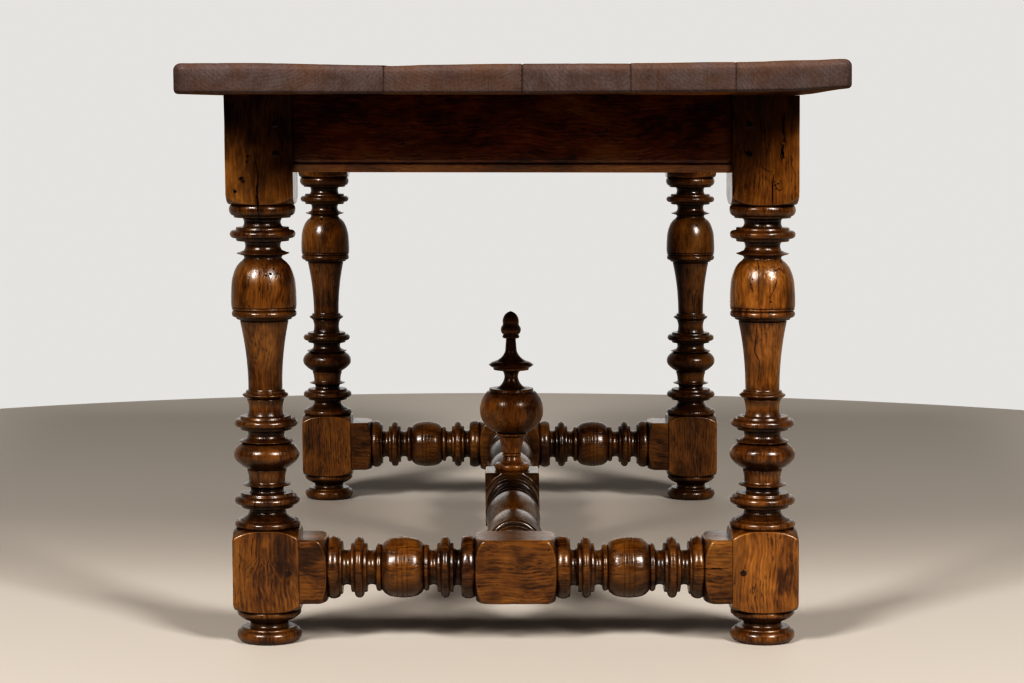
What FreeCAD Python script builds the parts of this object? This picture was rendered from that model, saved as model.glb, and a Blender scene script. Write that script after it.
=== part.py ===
import FreeCAD, Part
import os

# Refectory table: plank top, square legs with turned work, an H stretcher and a finial.
# Millimetres. +X runs across the table, +Y along it, +Z up. The origin is on the floor, in the middle.

Vector = FreeCAD.Vector

# Frame
leg_side = 88.0
foot_height = 43.5
lower_block_height = 110.0
turned_height = 429.5
upper_block_height = 143.5
shoulder_run = 20.0

# Top
top_width = 830.0
top_length = 1728.0
# How far the top reaches past the outer faces of the legs
side_overhang = 41.0
end_overhang = 200.0
board_thickness = 38.0
board_gap = 0.6
plan_corner = 14.0
top_arris = 10.0
under_arris = 6.0
tongue_width = 30.0
tongue_thickness = 10.0
tongue_end_cover = 60.0
# The four seams, as shares of the top's width from its left edge
seam_shares = (0.310, 0.514, 0.673, 0.828)

# Aprons
apron_height = 100.5
apron_thickness = 28.0
apron_setback = 8.0
bead_height = 12.5
bead_return = 4.0
quirk_width = 2.0
quirk_depth = 2.5
apron_tenon_thickness = 12.0
apron_tenon_length = 42.0
apron_tenon_haunch = 20.0

# Cross rail under the boards
cross_rail_width = 44.0
cross_rail_height = 60.0
cross_tenon_thickness = 16.0
cross_tenon_length = 14.0
cross_tenon_haunch = 12.0

# Stretchers
end_stretcher_side = 85.0
end_block_length = 36.0
centre_block_length = 108.0
medial_side = 84.0
mid_block_length = 84.0
mid_block_recess = 4.0
stretcher_tenon_thickness = 22.0
stretcher_tenon_height = 52.0
stretcher_tenon_length = 45.0

# Finial
finial_radius = 49.5
finial_height = 250.5
finial_tenon_diameter = 18.0
finial_tenon_length = 36.0

# Pegs
peg_diameter = 9.0
peg_proud = 0.6
peg_past_tenon = 10.0
apron_peg_inset = 22.0
stretcher_peg_inset = 14.5
medial_peg_inset = 18.0
top_peg_diameter = 10.0
top_peg_hold = 32.0
# Heights of the two pegs in an apron tenon, and places of the pegs along a side apron
apron_peg_shares = (0.17, 0.73)
side_peg_shares = (-0.25, 0.25)

# Fits
joint_clearance = 0.2
peg_clearance = 0.1
mortise_relief = 2.0
cut_overrun = 5.0
same_point = 0.001

# Unit outlines of turned work. Each row is a straight run to (along, out), or an arc
# through (along, out) to (along, out), in shares of the element's own length and radius.
plain_shares = ((0, 1), (1, 1))
rise_shares = ((0, 0.62), (0.25, 0.835, 1, 1))
recess_shares = ((0, 0.64), (0.6, 0.66, 1, 0.76))
ring_shares = ((0, 0.92), (0.5, 1, 1, 0.92))
bead_shares = ((0, 0.86), (0.5, 1, 1, 0.86))
neck_shares = ((0, 1.10), (0.5, 1, 1, 1.10))
flange_shares = ((0, 0.80), (0.21, 0.82), (0.21, 0.87), (0.5, 1, 0.79, 0.87), (0.79, 0.82), (1, 0.80))
step_ring_shares = ((0, 0.85), (0.16, 0.87), (0.16, 0.91), (0.55, 1, 0.94, 0.96), (1, 0.93))
base_shares = ((0, 0.94), (0.27, 1, 0.54, 0.95), (0.57, 0.92), (0.80, 0.83, 1, 0.66))
cup_shares = ((0, 0.90), (0.5, 0.91, 1, 1))
bulb_shares = ((0, 0.61), (0.48, 1, 1, 0.78))
taper_shares = ((0, 0.70), (0.55, 0.785, 1, 1))
collar_shares = ((0, 0.76), (0.33, 0.90, 0.66, 0.985), (0.69, 0.955), (0.72, 0.995),
                 (0.86, 1), (0.89, 0.965), (0.92, 1), (1, 1))
dome_shares = ((0, 1), (0.3, 0.995, 0.6, 0.965), (0.82, 0.885, 1, 0.71))
ball_shares = ((0, 0.74), (0.18, 0.905, 0.365, 0.985), (0.378, 0.965), (0.391, 0.99), (0.487, 1),
               (0.5, 0.975), (0.513, 1), (0.609, 0.99), (0.622, 0.965), (0.635, 0.985),
               (0.82, 0.905, 1, 0.74))
bun_shares = ((0, 0.78), (0.37, 1, 0.83, 0.92), (0.86, 0.87), (1, 0.84))
foot_ring_shares = ((0, 0.64), (0.30, 0.88, 0.62, 1), (0.88, 1), (1, 0.96))
barrel_shares = ((0, 0.88), (0.42, 1, 1, 0.70))
bell_shares = ((0, 1), (0.38, 0.66, 1, 0.56))
goblet_shares = ((0, 0.69), (0.5, 0.80, 1, 1))
globe_shares = ((0, 0.61), (0.20, 0.88, 0.52, 1), (0.80, 0.94, 1, 0.75))
stem_shares = ((0, 1), (0.20, 0.63, 0.60, 0.42), (0.82, 0.46, 1, 0.62))
disc_shares = ((0, 0.85), (0.42, 1), (0.80, 0.87), (0.88, 0.82), (1, 0.74))
spire_shares = ((0, 1), (0.18, 0.57, 0.45, 0.34), (1, 0.28))
acorn_shares = ((0, 0.80), (0.20, 1, 0.38, 0.82), (0.45, 0.78), (0.80, 0.66, 1, 0.06))

# Turned work as elements: outline, share of the turned length, share of the stock's half side.
corner_share = 1.5
foot_shares = ((bun_shares, 0.45, 0.977), (neck_shares, 0.20, 0.57), (foot_ring_shares, 0.35, 0.966))
leg_shares = (
    (base_shares, 0.047, 0.990), (neck_shares, 0.013, 0.560), (flange_shares, 0.042, 0.990),
    (neck_shares, 0.026, 0.490), (bead_shares, 0.012, 0.720), (cup_shares, 0.040, 0.620),
    (bulb_shares, 0.083, 0.980), (bead_shares, 0.014, 0.800), (neck_shares, 0.028, 0.555),
    (flange_shares, 0.042, 0.965), (neck_shares, 0.052, 0.510), (bead_shares, 0.028, 0.690),
    (taper_shares, 0.215, 0.730), (collar_shares, 0.045, 0.975), (dome_shares, 0.143, 0.975),
    (neck_shares, 0.014, 0.560), (bead_shares, 0.014, 0.760), (neck_shares, 0.030, 0.530),
    (flange_shares, 0.042, 0.955), (neck_shares, 0.030, 0.560), (step_ring_shares, 0.040, 0.970),
)
# From the centre block outwards
end_stretcher_shares = (
    (ring_shares, 0.094, 0.985), (neck_shares, 0.054, 0.560), (flange_shares, 0.110, 0.960),
    (neck_shares, 0.055, 0.540), (bead_shares, 0.039, 0.740), (ball_shares, 0.281, 0.955),
    (bead_shares, 0.041, 0.750), (neck_shares, 0.061, 0.530), (flange_shares, 0.107, 0.960),
    (neck_shares, 0.061, 0.540), (step_ring_shares, 0.097, 0.980),
)
# From either end of one half to its middle
medial_shares = (
    (ring_shares, 0.030, 0.960), (neck_shares, 0.034, 0.580), (flange_shares, 0.046, 0.970),
    (neck_shares, 0.044, 0.560), (bead_shares, 0.016, 0.760), (neck_shares, 0.050, 0.620),
    (bead_shares, 0.022, 0.910), (barrel_shares, 0.238, 0.960), (bead_shares, 0.020, 0.720),
)
finial_shares = (
    (ring_shares, 0.042, 0.550), (bell_shares, 0.044, 0.495), (bead_shares, 0.022, 0.300),
    (goblet_shares, 0.108, 0.430), (bead_shares, 0.024, 0.503), (plain_shares, 0.008, 0.450),
    (globe_shares, 0.250, 1.000), (plain_shares, 0.018, 0.695), (stem_shares, 0.118, 0.505),
    (plain_shares, 0.016, 0.557), (disc_shares, 0.036, 0.711), (spire_shares, 0.146, 0.525),
    (bead_shares, 0.020, 0.268), (plain_shares, 0.006, 0.240), (acorn_shares, 0.142, 0.318),
)

# Places that follow from the sizes
leg_outer_x = top_width / 2 - side_overhang
leg_outer_y = top_length / 2 - end_overhang
leg_x = leg_outer_x - leg_side / 2
leg_y = leg_outer_y - leg_side / 2
leg_inner_x = leg_outer_x - leg_side
leg_inner_y = leg_outer_y - leg_side
frame_height = foot_height + lower_block_height + turned_height + upper_block_height
top_height = frame_height + board_thickness
stretcher_axis = foot_height + lower_block_height / 2
end_apron_face = leg_outer_y - apron_setback
side_apron_face = leg_outer_x - apron_setback
end_apron_mid = end_apron_face - apron_thickness / 2
side_apron_mid = side_apron_face - apron_thickness / 2
side_apron_inner = side_apron_face - apron_thickness
apron_low = frame_height - apron_height
centre_block_inner_y = leg_y - end_stretcher_side / 2
medial_top = stretcher_axis + medial_side / 2
board_edges = [top_width * (share - 0.5) for share in (0, *seam_shares, 1)]
quadrants = {"near_left": (-1, -1), "near_right": (1, -1), "far_left": (-1, 1), "far_right": (1, 1)}
ends = {"near": -1, "far": 1}
sides = {"left": -1, "right": 1}


def flipped(shares):
    # The same outline, run from its other end.
    places = [row[-2:] for row in shares]
    rows = [(1 - places[-1][0], places[-1][1])]
    for row, (along, out) in zip(reversed(shares), reversed(places[:-1])):
        if len(row) == 4:
            rows.append((1 - row[0], row[1], 1 - along, out))
        else:
            rows.append((1 - along, out))
    return tuple(rows)


def mirrored(elements):
    return [(flipped(shares), run, reach) for shares, run, reach in reversed(elements)]


def turned(groups):
    # A solid of revolution about Z from groups of elements, each with its length and radius.
    edges = []
    base = 0.0
    last = Vector(0, 0, 0)
    for elements, length, radius in groups:
        whole = sum(run for _, run, _ in elements)
        for shares, run, reach in elements:
            for row in shares:
                points = [Vector(radius * reach * out, 0, base + length * run / whole * along)
                          for along, out in zip(row[::2], row[1::2])]
                if (points[-1] - last).Length > same_point:
                    if len(points) == 2:
                        edges.append(Part.Arc(last, *points).toShape())
                    else:
                        edges.append(Part.makeLine(last, points[0]))
                    last = points[-1]
            base += length * run / whole
    tip = Vector(0, 0, base)
    if (tip - last).Length > same_point:
        edges.append(Part.makeLine(last, tip))
    edges.append(Part.makeLine(tip, Vector(0, 0, 0)))
    face = Part.Face(Part.Wire(edges))
    return face.revolve(Vector(0, 0, 0), Vector(0, 0, 1), 360)


def square_turned(groups, side):
    # Square stock, turned where an outline comes inside it.
    height = sum(length for _, length, _ in groups)
    stock = Part.makeBox(side, side, height, Vector(-side / 2, -side / 2, 0))
    return turned(groups).common(stock)


def square_block(length, lower, upper):
    # A square block between a lower and an upper shoulder; each is an outline and its run, or None.
    elements = []
    plain = length
    for shoulder in (lower, upper):
        if shoulder:
            plain -= shoulder[1]
    if lower:
        elements.append((lower[0], lower[1], corner_share))
    elements.append((plain_shares, plain, corner_share))
    if upper:
        elements.append((flipped(upper[0]), upper[1], corner_share))
    return elements


def span_box(spans, sign_x=1, sign_y=1):
    # A box from its spans along X, Y and Z, in the quadrant that the signs give.
    corners = [[sign * value for value in span] for sign, span in zip((sign_x, sign_y, 1), spans)]
    low = Vector(*[min(span) for span in corners])
    return Part.makeBox(*[max(span) - min(span) for span in corners], low)


def around(middle, width):
    return (middle - width / 2, middle + width / 2)


def mortise(spans, along):
    # The room for a tenon, open at its mouth and a little deeper than the tenon is long.
    room = [(low - joint_clearance, high + joint_clearance) for low, high in spans]
    low, high = spans[along]
    room[along] = (low - cut_overrun, high + mortise_relief)
    return room


def pin(start, end, diameter):
    # A round peg from its head to its end, and the bore that it is driven into.
    way = end - start
    way.normalize()
    peg = Part.makeCylinder(diameter / 2, (end - start).Length, start, way)
    bore_radius = diameter / 2 + peg_clearance
    bore_length = (end - start).Length + cut_overrun + mortise_relief
    bore = Part.makeCylinder(bore_radius, bore_length, start - way * cut_overrun, way)
    return peg, bore


def lay(shape, direction):
    # Turns a piece made along Z to lie along the direction.
    laid = shape.copy()
    laid.Placement = FreeCAD.Placement(Vector(0, 0, 0), FreeCAD.Rotation(Vector(0, 0, 1), direction))
    return laid


# Tenons, as spans along X, Y and Z in the quadrant where all are positive
apron_tenon_z = (apron_low + bead_height, frame_height - apron_tenon_haunch)
apron_tenon_height = apron_tenon_z[1] - apron_tenon_z[0]
end_apron_tenon = ((leg_inner_x, leg_inner_x + apron_tenon_length),
                   around(end_apron_mid, apron_tenon_thickness), apron_tenon_z)
side_apron_tenon = (around(side_apron_mid, apron_tenon_thickness),
                    (leg_inner_y, leg_inner_y + apron_tenon_length), apron_tenon_z)
end_stretcher_tenon = ((leg_inner_x, leg_inner_x + stretcher_tenon_length),
                       around(leg_y, stretcher_tenon_thickness),
                       around(stretcher_axis, stretcher_tenon_height))
medial_tenon = (around(0, stretcher_tenon_thickness),
                (centre_block_inner_y, centre_block_inner_y + stretcher_tenon_length),
                around(stretcher_axis, stretcher_tenon_height))
cross_rail_tenon = ((side_apron_inner, side_apron_inner + cross_tenon_length),
                    around(0, cross_tenon_thickness),
                    (frame_height - cross_rail_height + cross_tenon_haunch,
                     frame_height - cross_tenon_haunch))
pieces = {}
pegs = {}
bores = []


def drive(group, start, end, diameter):
    peg, bore = pin(start, end, diameter)
    pegs.setdefault(group, []).append(peg)
    bores.append(bore)


# Legs
rounded = (rise_shares, shoulder_run)
turned_leg = square_turned([
    (foot_shares, foot_height, leg_side / 2),
    (square_block(lower_block_height, rounded, rounded), lower_block_height, leg_side / 2),
    (leg_shares, turned_height, leg_side / 2),
    (square_block(upper_block_height, rounded, None), upper_block_height, leg_side / 2),
], leg_side)
for corner, (sign_x, sign_y) in quadrants.items():
    leg = turned_leg.copy()
    leg.translate(Vector(sign_x * leg_x, sign_y * leg_y, 0))
    rooms = [mortise(end_apron_tenon, 0), mortise(side_apron_tenon, 1), mortise(end_stretcher_tenon, 0)]
    pieces["leg_" + corner] = leg.cut([span_box(room, sign_x, sign_y) for room in rooms])

# Aprons, with a bead along the lower outer edge. Outline points are (outward, height).
quirk_low = apron_low + bead_height
face_low = quirk_low + quirk_width


def apron(place, run):
    # Draws the section through place(outward, height), runs it along the apron.
    top = place(0, frame_height)
    edges = [Part.makeLine(top, place(0, face_low)),
             Part.makeLine(place(0, face_low), place(-quirk_depth, quirk_low)),
             Part.Arc(place(-quirk_depth, quirk_low), place(0, apron_low + bead_height / 2),
                      place(-bead_return, apron_low)).toShape(),
             Part.makeLine(place(-bead_return, apron_low), place(-apron_thickness, apron_low)),
             Part.makeLine(place(-apron_thickness, apron_low), place(-apron_thickness, frame_height)),
             Part.makeLine(place(-apron_thickness, frame_height), top)]
    return Part.Face(Part.Wire(edges)).extrude(run)


for end, sign_y in ends.items():
    rail = apron(lambda out, height: Vector(-leg_inner_x, sign_y * (end_apron_face + out), height),
                 Vector(2 * leg_inner_x, 0, 0))
    tenons = [span_box(end_apron_tenon, sign_x, sign_y) for sign_x in sides.values()]
    pieces["end_apron_" + end] = rail.fuse(tenons).removeSplitter()
for side, sign_x in sides.items():
    rail = apron(lambda out, height: Vector(sign_x * (side_apron_face + out), -leg_inner_y, height),
                 Vector(0, 2 * leg_inner_y, 0))
    tenons = [span_box(side_apron_tenon, sign_x, sign_y) for sign_y in ends.values()]
    rail = rail.fuse(tenons).removeSplitter()
    pieces["side_apron_" + side] = rail.cut(span_box(mortise(cross_rail_tenon, 0), sign_x))

# Cross rail
cross_rail = span_box(((-side_apron_inner, side_apron_inner), around(0, cross_rail_width),
                       (frame_height - cross_rail_height, frame_height)))
cross_tenons = [span_box(cross_rail_tenon, sign_x) for sign_x in sides.values()]
pieces["cross_rail"] = cross_rail.fuse(cross_tenons).removeSplitter()

# End stretchers
end_run = leg_inner_x - end_block_length - centre_block_length / 2
end_half = end_stretcher_side / 2
end_stretcher = square_turned([
    (square_block(end_block_length, None, rounded), end_block_length, end_half),
    (mirrored(end_stretcher_shares), end_run, end_half),
    (square_block(centre_block_length, rounded, rounded), centre_block_length, end_half),
    (end_stretcher_shares, end_run, end_half),
    (square_block(end_block_length, rounded, None), end_block_length, end_half),
], end_stretcher_side)
for end, sign_y in ends.items():
    stretcher = lay(end_stretcher, Vector(1, 0, 0))
    stretcher.translate(Vector(-leg_inner_x, sign_y * leg_y, stretcher_axis))
    tenons = [span_box(end_stretcher_tenon, sign_x, sign_y) for sign_x in sides.values()]
    stretcher = stretcher.fuse(tenons).removeSplitter()
    pieces["end_stretcher_" + end] = stretcher.cut(span_box(mortise(medial_tenon, 1), 1, sign_y))

# Medial stretcher
half_run = centre_block_inner_y - mid_block_length / 2
medial_half = medial_side / 2
recessed = (recess_shares, mid_block_recess)
one_half = (*medial_shares, *mirrored(medial_shares))
medial = square_turned([
    (one_half, half_run, medial_half),
    (square_block(mid_block_length, recessed, recessed), mid_block_length, medial_half),
    (one_half, half_run, medial_half),
], medial_side)
medial = lay(medial, Vector(0, 1, 0))
medial.translate(Vector(0, -centre_block_inner_y, stretcher_axis))
medial = medial.fuse([span_box(medial_tenon, 1, sign_y) for sign_y in ends.values()]).removeSplitter()

# Finial, on a round tenon in the middle of the medial stretcher
finial = turned([(finial_shares, finial_height, finial_radius)])
finial.translate(Vector(0, 0, medial_top))
tenon_low = Vector(0, 0, medial_top - finial_tenon_length)
finial_tenon, finial_bore = pin(Vector(0, 0, medial_top), tenon_low, finial_tenon_diameter)
pieces["medial_stretcher"] = medial.cut(finial_bore)
pieces["finial"] = finial.fuse(finial_tenon).removeSplitter()

# Pegs through the tenons
for sign_x, sign_y in quadrants.values():
    for share in apron_peg_shares:
        height = apron_tenon_z[0] + share * apron_tenon_height
        end_x = sign_x * (leg_inner_x + apron_peg_inset)
        end_low = end_apron_tenon[1][0] - peg_past_tenon
        drive("end_apron_pegs", Vector(end_x, sign_y * (leg_outer_y + peg_proud), height),
              Vector(end_x, sign_y * end_low, height), peg_diameter)
        side_y = sign_y * (leg_inner_y + apron_peg_inset)
        side_low = side_apron_tenon[0][0] - peg_past_tenon
        drive("side_apron_pegs", Vector(sign_x * (leg_outer_x + peg_proud), side_y, height),
              Vector(sign_x * side_low, side_y, height), peg_diameter)
    peg_x = sign_x * (leg_inner_x + stretcher_peg_inset)
    peg_low = end_stretcher_tenon[1][0] - peg_past_tenon
    drive("stretcher_pegs", Vector(peg_x, sign_y * (leg_outer_y + peg_proud), stretcher_axis),
          Vector(peg_x, sign_y * peg_low, stretcher_axis), peg_diameter)
for sign_y in ends.values():
    peg_y = sign_y * (centre_block_inner_y + medial_peg_inset)
    drive("medial_pegs", Vector(0, peg_y, stretcher_axis - end_half),
          Vector(0, peg_y, medial_tenon[2][1] + peg_past_tenon), peg_diameter)

# Top: boards, loose tongues and the pegs that hold the boards to the frame
tongue_z = around(frame_height + board_thickness / 2, tongue_thickness)
tongue_y = around(0, top_length - 2 * tongue_end_cover)
tongues = {}
for number, seam in enumerate(board_edges[1:-1], start=1):
    tongues["top_tongue_%d" % number] = (around(seam, tongue_width), tongue_y, tongue_z)
for name, spans in tongues.items():
    pieces[name] = span_box(spans)
grooves = [span_box([(low - joint_clearance, high + joint_clearance) for low, high in spans])
           for spans in tongues.values()]


def edges_at(shape, height):
    # The edges of a shape that lie wholly at one height.
    spans = [(edge, edge.BoundBox) for edge in shape.Edges]
    return [edge for edge, box in spans
            if abs(box.ZMin - height) < same_point and abs(box.ZMax - height) < same_point]


def lies_along(edge, x):
    return abs(edge.BoundBox.XMin - x) < same_point and abs(edge.BoundBox.XMax - x) < same_point


def board_between(left, right):
    # A board, rounded on its outer corners and arrises and left square along its seams.
    board = span_box(((left, right), around(0, top_length), (frame_height, top_height)))
    seams = [x for x in (left, right) if abs(x) < top_width / 2 - same_point]
    outer = [x for x in (left, right) if x not in seams]
    upright = [edge for edge in board.Edges if edge.BoundBox.ZLength > same_point
               and any(lies_along(edge, x) for x in outer)]
    if upright:
        board = board.makeFillet(plan_corner, upright)
    for height, radius in ((top_height, top_arris), (frame_height, under_arris)):
        arrises = [edge for edge in edges_at(board, height)
                   if not any(lies_along(edge, x) for x in seams)]
        board = board.makeFillet(radius, arrises)
    return board


last_board = len(board_edges) - 1
for number in range(1, last_board + 1):
    left = board_edges[number - 1]
    right = board_edges[number]
    middle = (left + right) / 2
    if number > 1:
        left += board_gap / 2
    if number < last_board:
        right -= board_gap / 2
    pieces["top_board_%d" % number] = board_between(left, right).cut(grooves)
    if number in (1, last_board):
        peg_x = side_apron_mid if number == last_board else -side_apron_mid
        along = [share * 2 * leg_y for share in side_peg_shares]
    else:
        peg_x = middle
        along = [0]
    for peg_y in (-end_apron_mid, *along, end_apron_mid):
        drive("top_pegs", Vector(peg_x, peg_y, top_height),
              Vector(peg_x, peg_y, frame_height - top_peg_hold), top_peg_diameter)

# Every piece is bored for the pegs that pass through it
for name, shape in pieces.items():
    through = [bore for bore in bores if shape.BoundBox.intersect(bore.BoundBox)]
    if through:
        pieces[name] = shape.cut(through)
for name, group in pegs.items():
    pieces[name] = Part.makeCompound(group)

os.makedirs("parts", exist_ok=True)
for name, shape in pieces.items():
    shape.exportStep("parts/%s.step" % name)
    print(name, len(shape.Solids), "solids, volume", round(shape.Volume), "valid", shape.isValid())
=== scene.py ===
import math
import random
import bmesh
import bpy
from mathutils import Euler, Matrix, Vector, noise
from mathutils.bvhtree import BVHTree


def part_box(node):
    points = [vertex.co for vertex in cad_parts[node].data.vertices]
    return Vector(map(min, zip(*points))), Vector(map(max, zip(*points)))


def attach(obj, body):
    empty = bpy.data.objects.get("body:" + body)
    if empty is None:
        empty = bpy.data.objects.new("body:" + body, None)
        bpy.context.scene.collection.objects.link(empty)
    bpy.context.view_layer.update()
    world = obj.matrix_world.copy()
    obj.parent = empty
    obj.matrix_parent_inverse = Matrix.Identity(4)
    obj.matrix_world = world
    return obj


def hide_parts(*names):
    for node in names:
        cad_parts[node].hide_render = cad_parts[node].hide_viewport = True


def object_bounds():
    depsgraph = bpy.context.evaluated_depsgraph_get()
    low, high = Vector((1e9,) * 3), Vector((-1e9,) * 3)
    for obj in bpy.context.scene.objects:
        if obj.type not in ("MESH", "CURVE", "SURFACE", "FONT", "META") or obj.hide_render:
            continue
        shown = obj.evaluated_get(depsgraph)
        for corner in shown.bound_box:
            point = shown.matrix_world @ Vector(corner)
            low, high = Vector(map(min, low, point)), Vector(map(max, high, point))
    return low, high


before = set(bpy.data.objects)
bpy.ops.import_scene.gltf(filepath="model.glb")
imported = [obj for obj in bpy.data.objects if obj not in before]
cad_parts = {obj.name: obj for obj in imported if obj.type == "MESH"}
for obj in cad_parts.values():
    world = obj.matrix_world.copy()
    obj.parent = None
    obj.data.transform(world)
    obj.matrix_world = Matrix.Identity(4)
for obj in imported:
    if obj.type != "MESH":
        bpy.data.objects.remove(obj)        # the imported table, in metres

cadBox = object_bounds()
print("frame loaded:", len(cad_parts), "nodes")

# Places that the whole table hangs on
legLow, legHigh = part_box("leg_far_right")
frameHeight = legHigh.z
legSide = legHigh.x - legLow.x
legAxis = (legLow + legHigh) / 2
nearEnd = cadBox[0].y
halfWidth = cadBox[1].x
same = 1e-5              # points closer than this are one

# The old frame has racked a little, so its top stands to the left of its feet
racked = {"lean": 0.0100, "level": 0.36}


def leanAt(height):
    return -racked["lean"] * (height - racked["level"])


# Shader nodes, for the world and the finishes
def put(tree, kind, settings=None, inputs=None):
    # one node, with its settings and its inputs (a value or another node's output)
    made = tree.nodes.new("ShaderNode" + kind)
    for key, value in (settings or {}).items():
        setattr(made, key, value)
    for key, value in (inputs or {}).items():
        if isinstance(value, bpy.types.NodeSocket):
            tree.links.new(value, made.inputs[key])
        else:
            made.inputs[key].default_value = value
    return made


def sums(tree, operation, *values, clamp=False):
    result = values[0]
    for value in values[1:]:
        made = put(tree, "Math", {"operation": operation, "use_clamp": clamp}, {0: result, 1: value})
        result = made.outputs[0]
    return result


def plus(tree, *values):
    return sums(tree, "ADD", *values)


def times(tree, *values, clamp=False):
    return sums(tree, "MULTIPLY", *values, clamp=clamp)


def blended(tree, *parts):
    # the sum of some values, each times its share
    return plus(tree, *(times(tree, value, share) for value, share in parts))


def ranged(tree, value, low, high, toLow=0, toHigh=1, smooth=True):
    made = put(tree, "MapRange", {"interpolation_type": "SMOOTHSTEP" if smooth else "LINEAR"},
               {"Value": value, "From Min": low, "From Max": high, "To Min": toLow, "To Max": toHigh})
    return made.outputs[0]


def mapped(tree, vector, scale=(1, 1, 1), turn=(0, 0, 0), shift=(0, 0, 0)):
    made = put(tree, "Mapping", None, {"Vector": vector, "Scale": scale, "Rotation": turn, "Location": shift})
    return made.outputs[0]


def speckle(tree, vector, scale, detail, rough=0.5, distort=0.0):
    made = put(tree, "TexNoise", None, {"Vector": vector, "Scale": scale, "Detail": detail,
                                        "Roughness": rough, "Distortion": distort})
    return made.outputs["Fac"]


def ramp(tree, value, stops):
    # a colour ramp from (place, colour or grey) stops
    made = put(tree, "ValToRGB", None, {"Fac": value})
    scale = made.color_ramp
    while len(scale.elements) < len(stops):
        scale.elements.new(1)
    for element, (place, colour) in zip(scale.elements, stops):
        element.position = place
        element.color = colour if isinstance(colour, tuple) else (colour, colour, colour, 1)
    return made.outputs["Color"]


def mixed(tree, share, under, over, blend="MIX"):
    made = put(tree, "Mix", {"data_type": "RGBA", "blend_type": blend}, {0: share, 6: under, 7: over})
    return made.outputs[2]


# Camera, light and floor
camera = {"place": (-0.028, -3.986, 0.716), "pitch": 84.66, "yaw": -0.43, "roll": 0.08,
          "focalPixels": 2550, "imageWidth": 1024, "sensor": 36}
softbox = {"across": 3.67, "along": -5.5, "up": 4.45, "wide": 1.6, "tall": 2.25, "power": 395,
           "aim": (0, -0.55, 0.40)}
world = {"front": 0.02, "back": 0.34, "backRange": (-0.15, 0.85), "wall": 0.40, "wallRange": (0.90, 0.99),
         "backdrop": 0.49, "tint": (1, 0.985, 0.965, 1)}
floor = {"radius": 2.3, "sides": 256, "colour": (0.52, 0.465, 0.405, 1), "roughness": 0.75}


def makeCamera():
    data = bpy.data.cameras.new("camera")
    data.sensor_width = camera["sensor"]
    data.lens = camera["focalPixels"] * camera["sensor"] / camera["imageWidth"]
    made = bpy.data.objects.new("camera", data)
    made.location = camera["place"]
    tilt, turn, roll = (math.radians(camera[key]) for key in ("pitch", "yaw", "roll"))
    turned = Matrix.Rotation(turn, 3, "Z") @ Matrix.Rotation(tilt, 3, "X") @ Matrix.Rotation(roll, 3, "Z")
    made.rotation_euler = turned.to_euler()
    bpy.context.scene.collection.objects.link(made)
    bpy.context.scene.camera = made


def makeSoftbox(side):
    data = bpy.data.lights.new("softbox", "AREA")
    data.shape = "RECTANGLE"
    data.size = softbox["wide"]
    data.size_y = softbox["tall"]
    data.energy = softbox["power"]
    made = bpy.data.objects.new("softbox", data)
    made.location = (side * softbox["across"], softbox["along"], softbox["up"])
    away = made.location - Vector(softbox["aim"])
    made.rotation_euler = away.to_track_quat("Z", "Y").to_euler()
    bpy.context.scene.collection.objects.link(made)


def makeWorld():
    made = bpy.data.worlds.new("studio")
    made.use_nodes = True
    tree = made.node_tree
    tree.nodes.clear()
    ways = put(tree, "TexCoord").outputs["Generated"]
    ahead = put(tree, "SeparateXYZ", None, {0: ways}).outputs["Y"]
    back = ranged(tree, ahead, *world["backRange"], world["front"], world["back"])
    wall = ranged(tree, ahead, *world["wallRange"], 0, world["wall"])
    seenRay = put(tree, "LightPath").outputs["Is Camera Ray"]      # the pale backdrop, all round
    strength = put(tree, "Mix", None, {0: seenRay, 2: plus(tree, back, wall), 3: world["backdrop"]}).outputs[0]
    sky = put(tree, "Background", None, {"Color": world["tint"], "Strength": strength})
    put(tree, "OutputWorld", None, {"Surface": sky.outputs[0]})
    bpy.context.scene.world = made


def makeFloor():
    bm = bmesh.new()
    bmesh.ops.create_circle(bm, cap_ends=True, segments=floor["sides"], radius=floor["radius"])
    mesh = bpy.data.meshes.new("floor")
    bm.to_mesh(mesh)
    bm.free()
    made = bpy.data.objects.new("floor", mesh)
    bpy.context.scene.collection.objects.link(made)
    finish = bpy.data.materials.new("pale_floor")
    finish.use_nodes = True
    shader = finish.node_tree.nodes["Principled BSDF"]
    shader.inputs["Base Color"].default_value = floor["colour"]
    shader.inputs["Roughness"].default_value = floor["roughness"]
    mesh.materials.append(finish)


makeCamera()
makeSoftbox(-1)
makeSoftbox(1)
makeWorld()
makeFloor()
bpy.context.scene.view_settings.view_transform = "Standard"
bpy.context.scene.view_settings.look = "Very High Contrast"
print("camera, two softboxes and floor placed")

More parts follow.
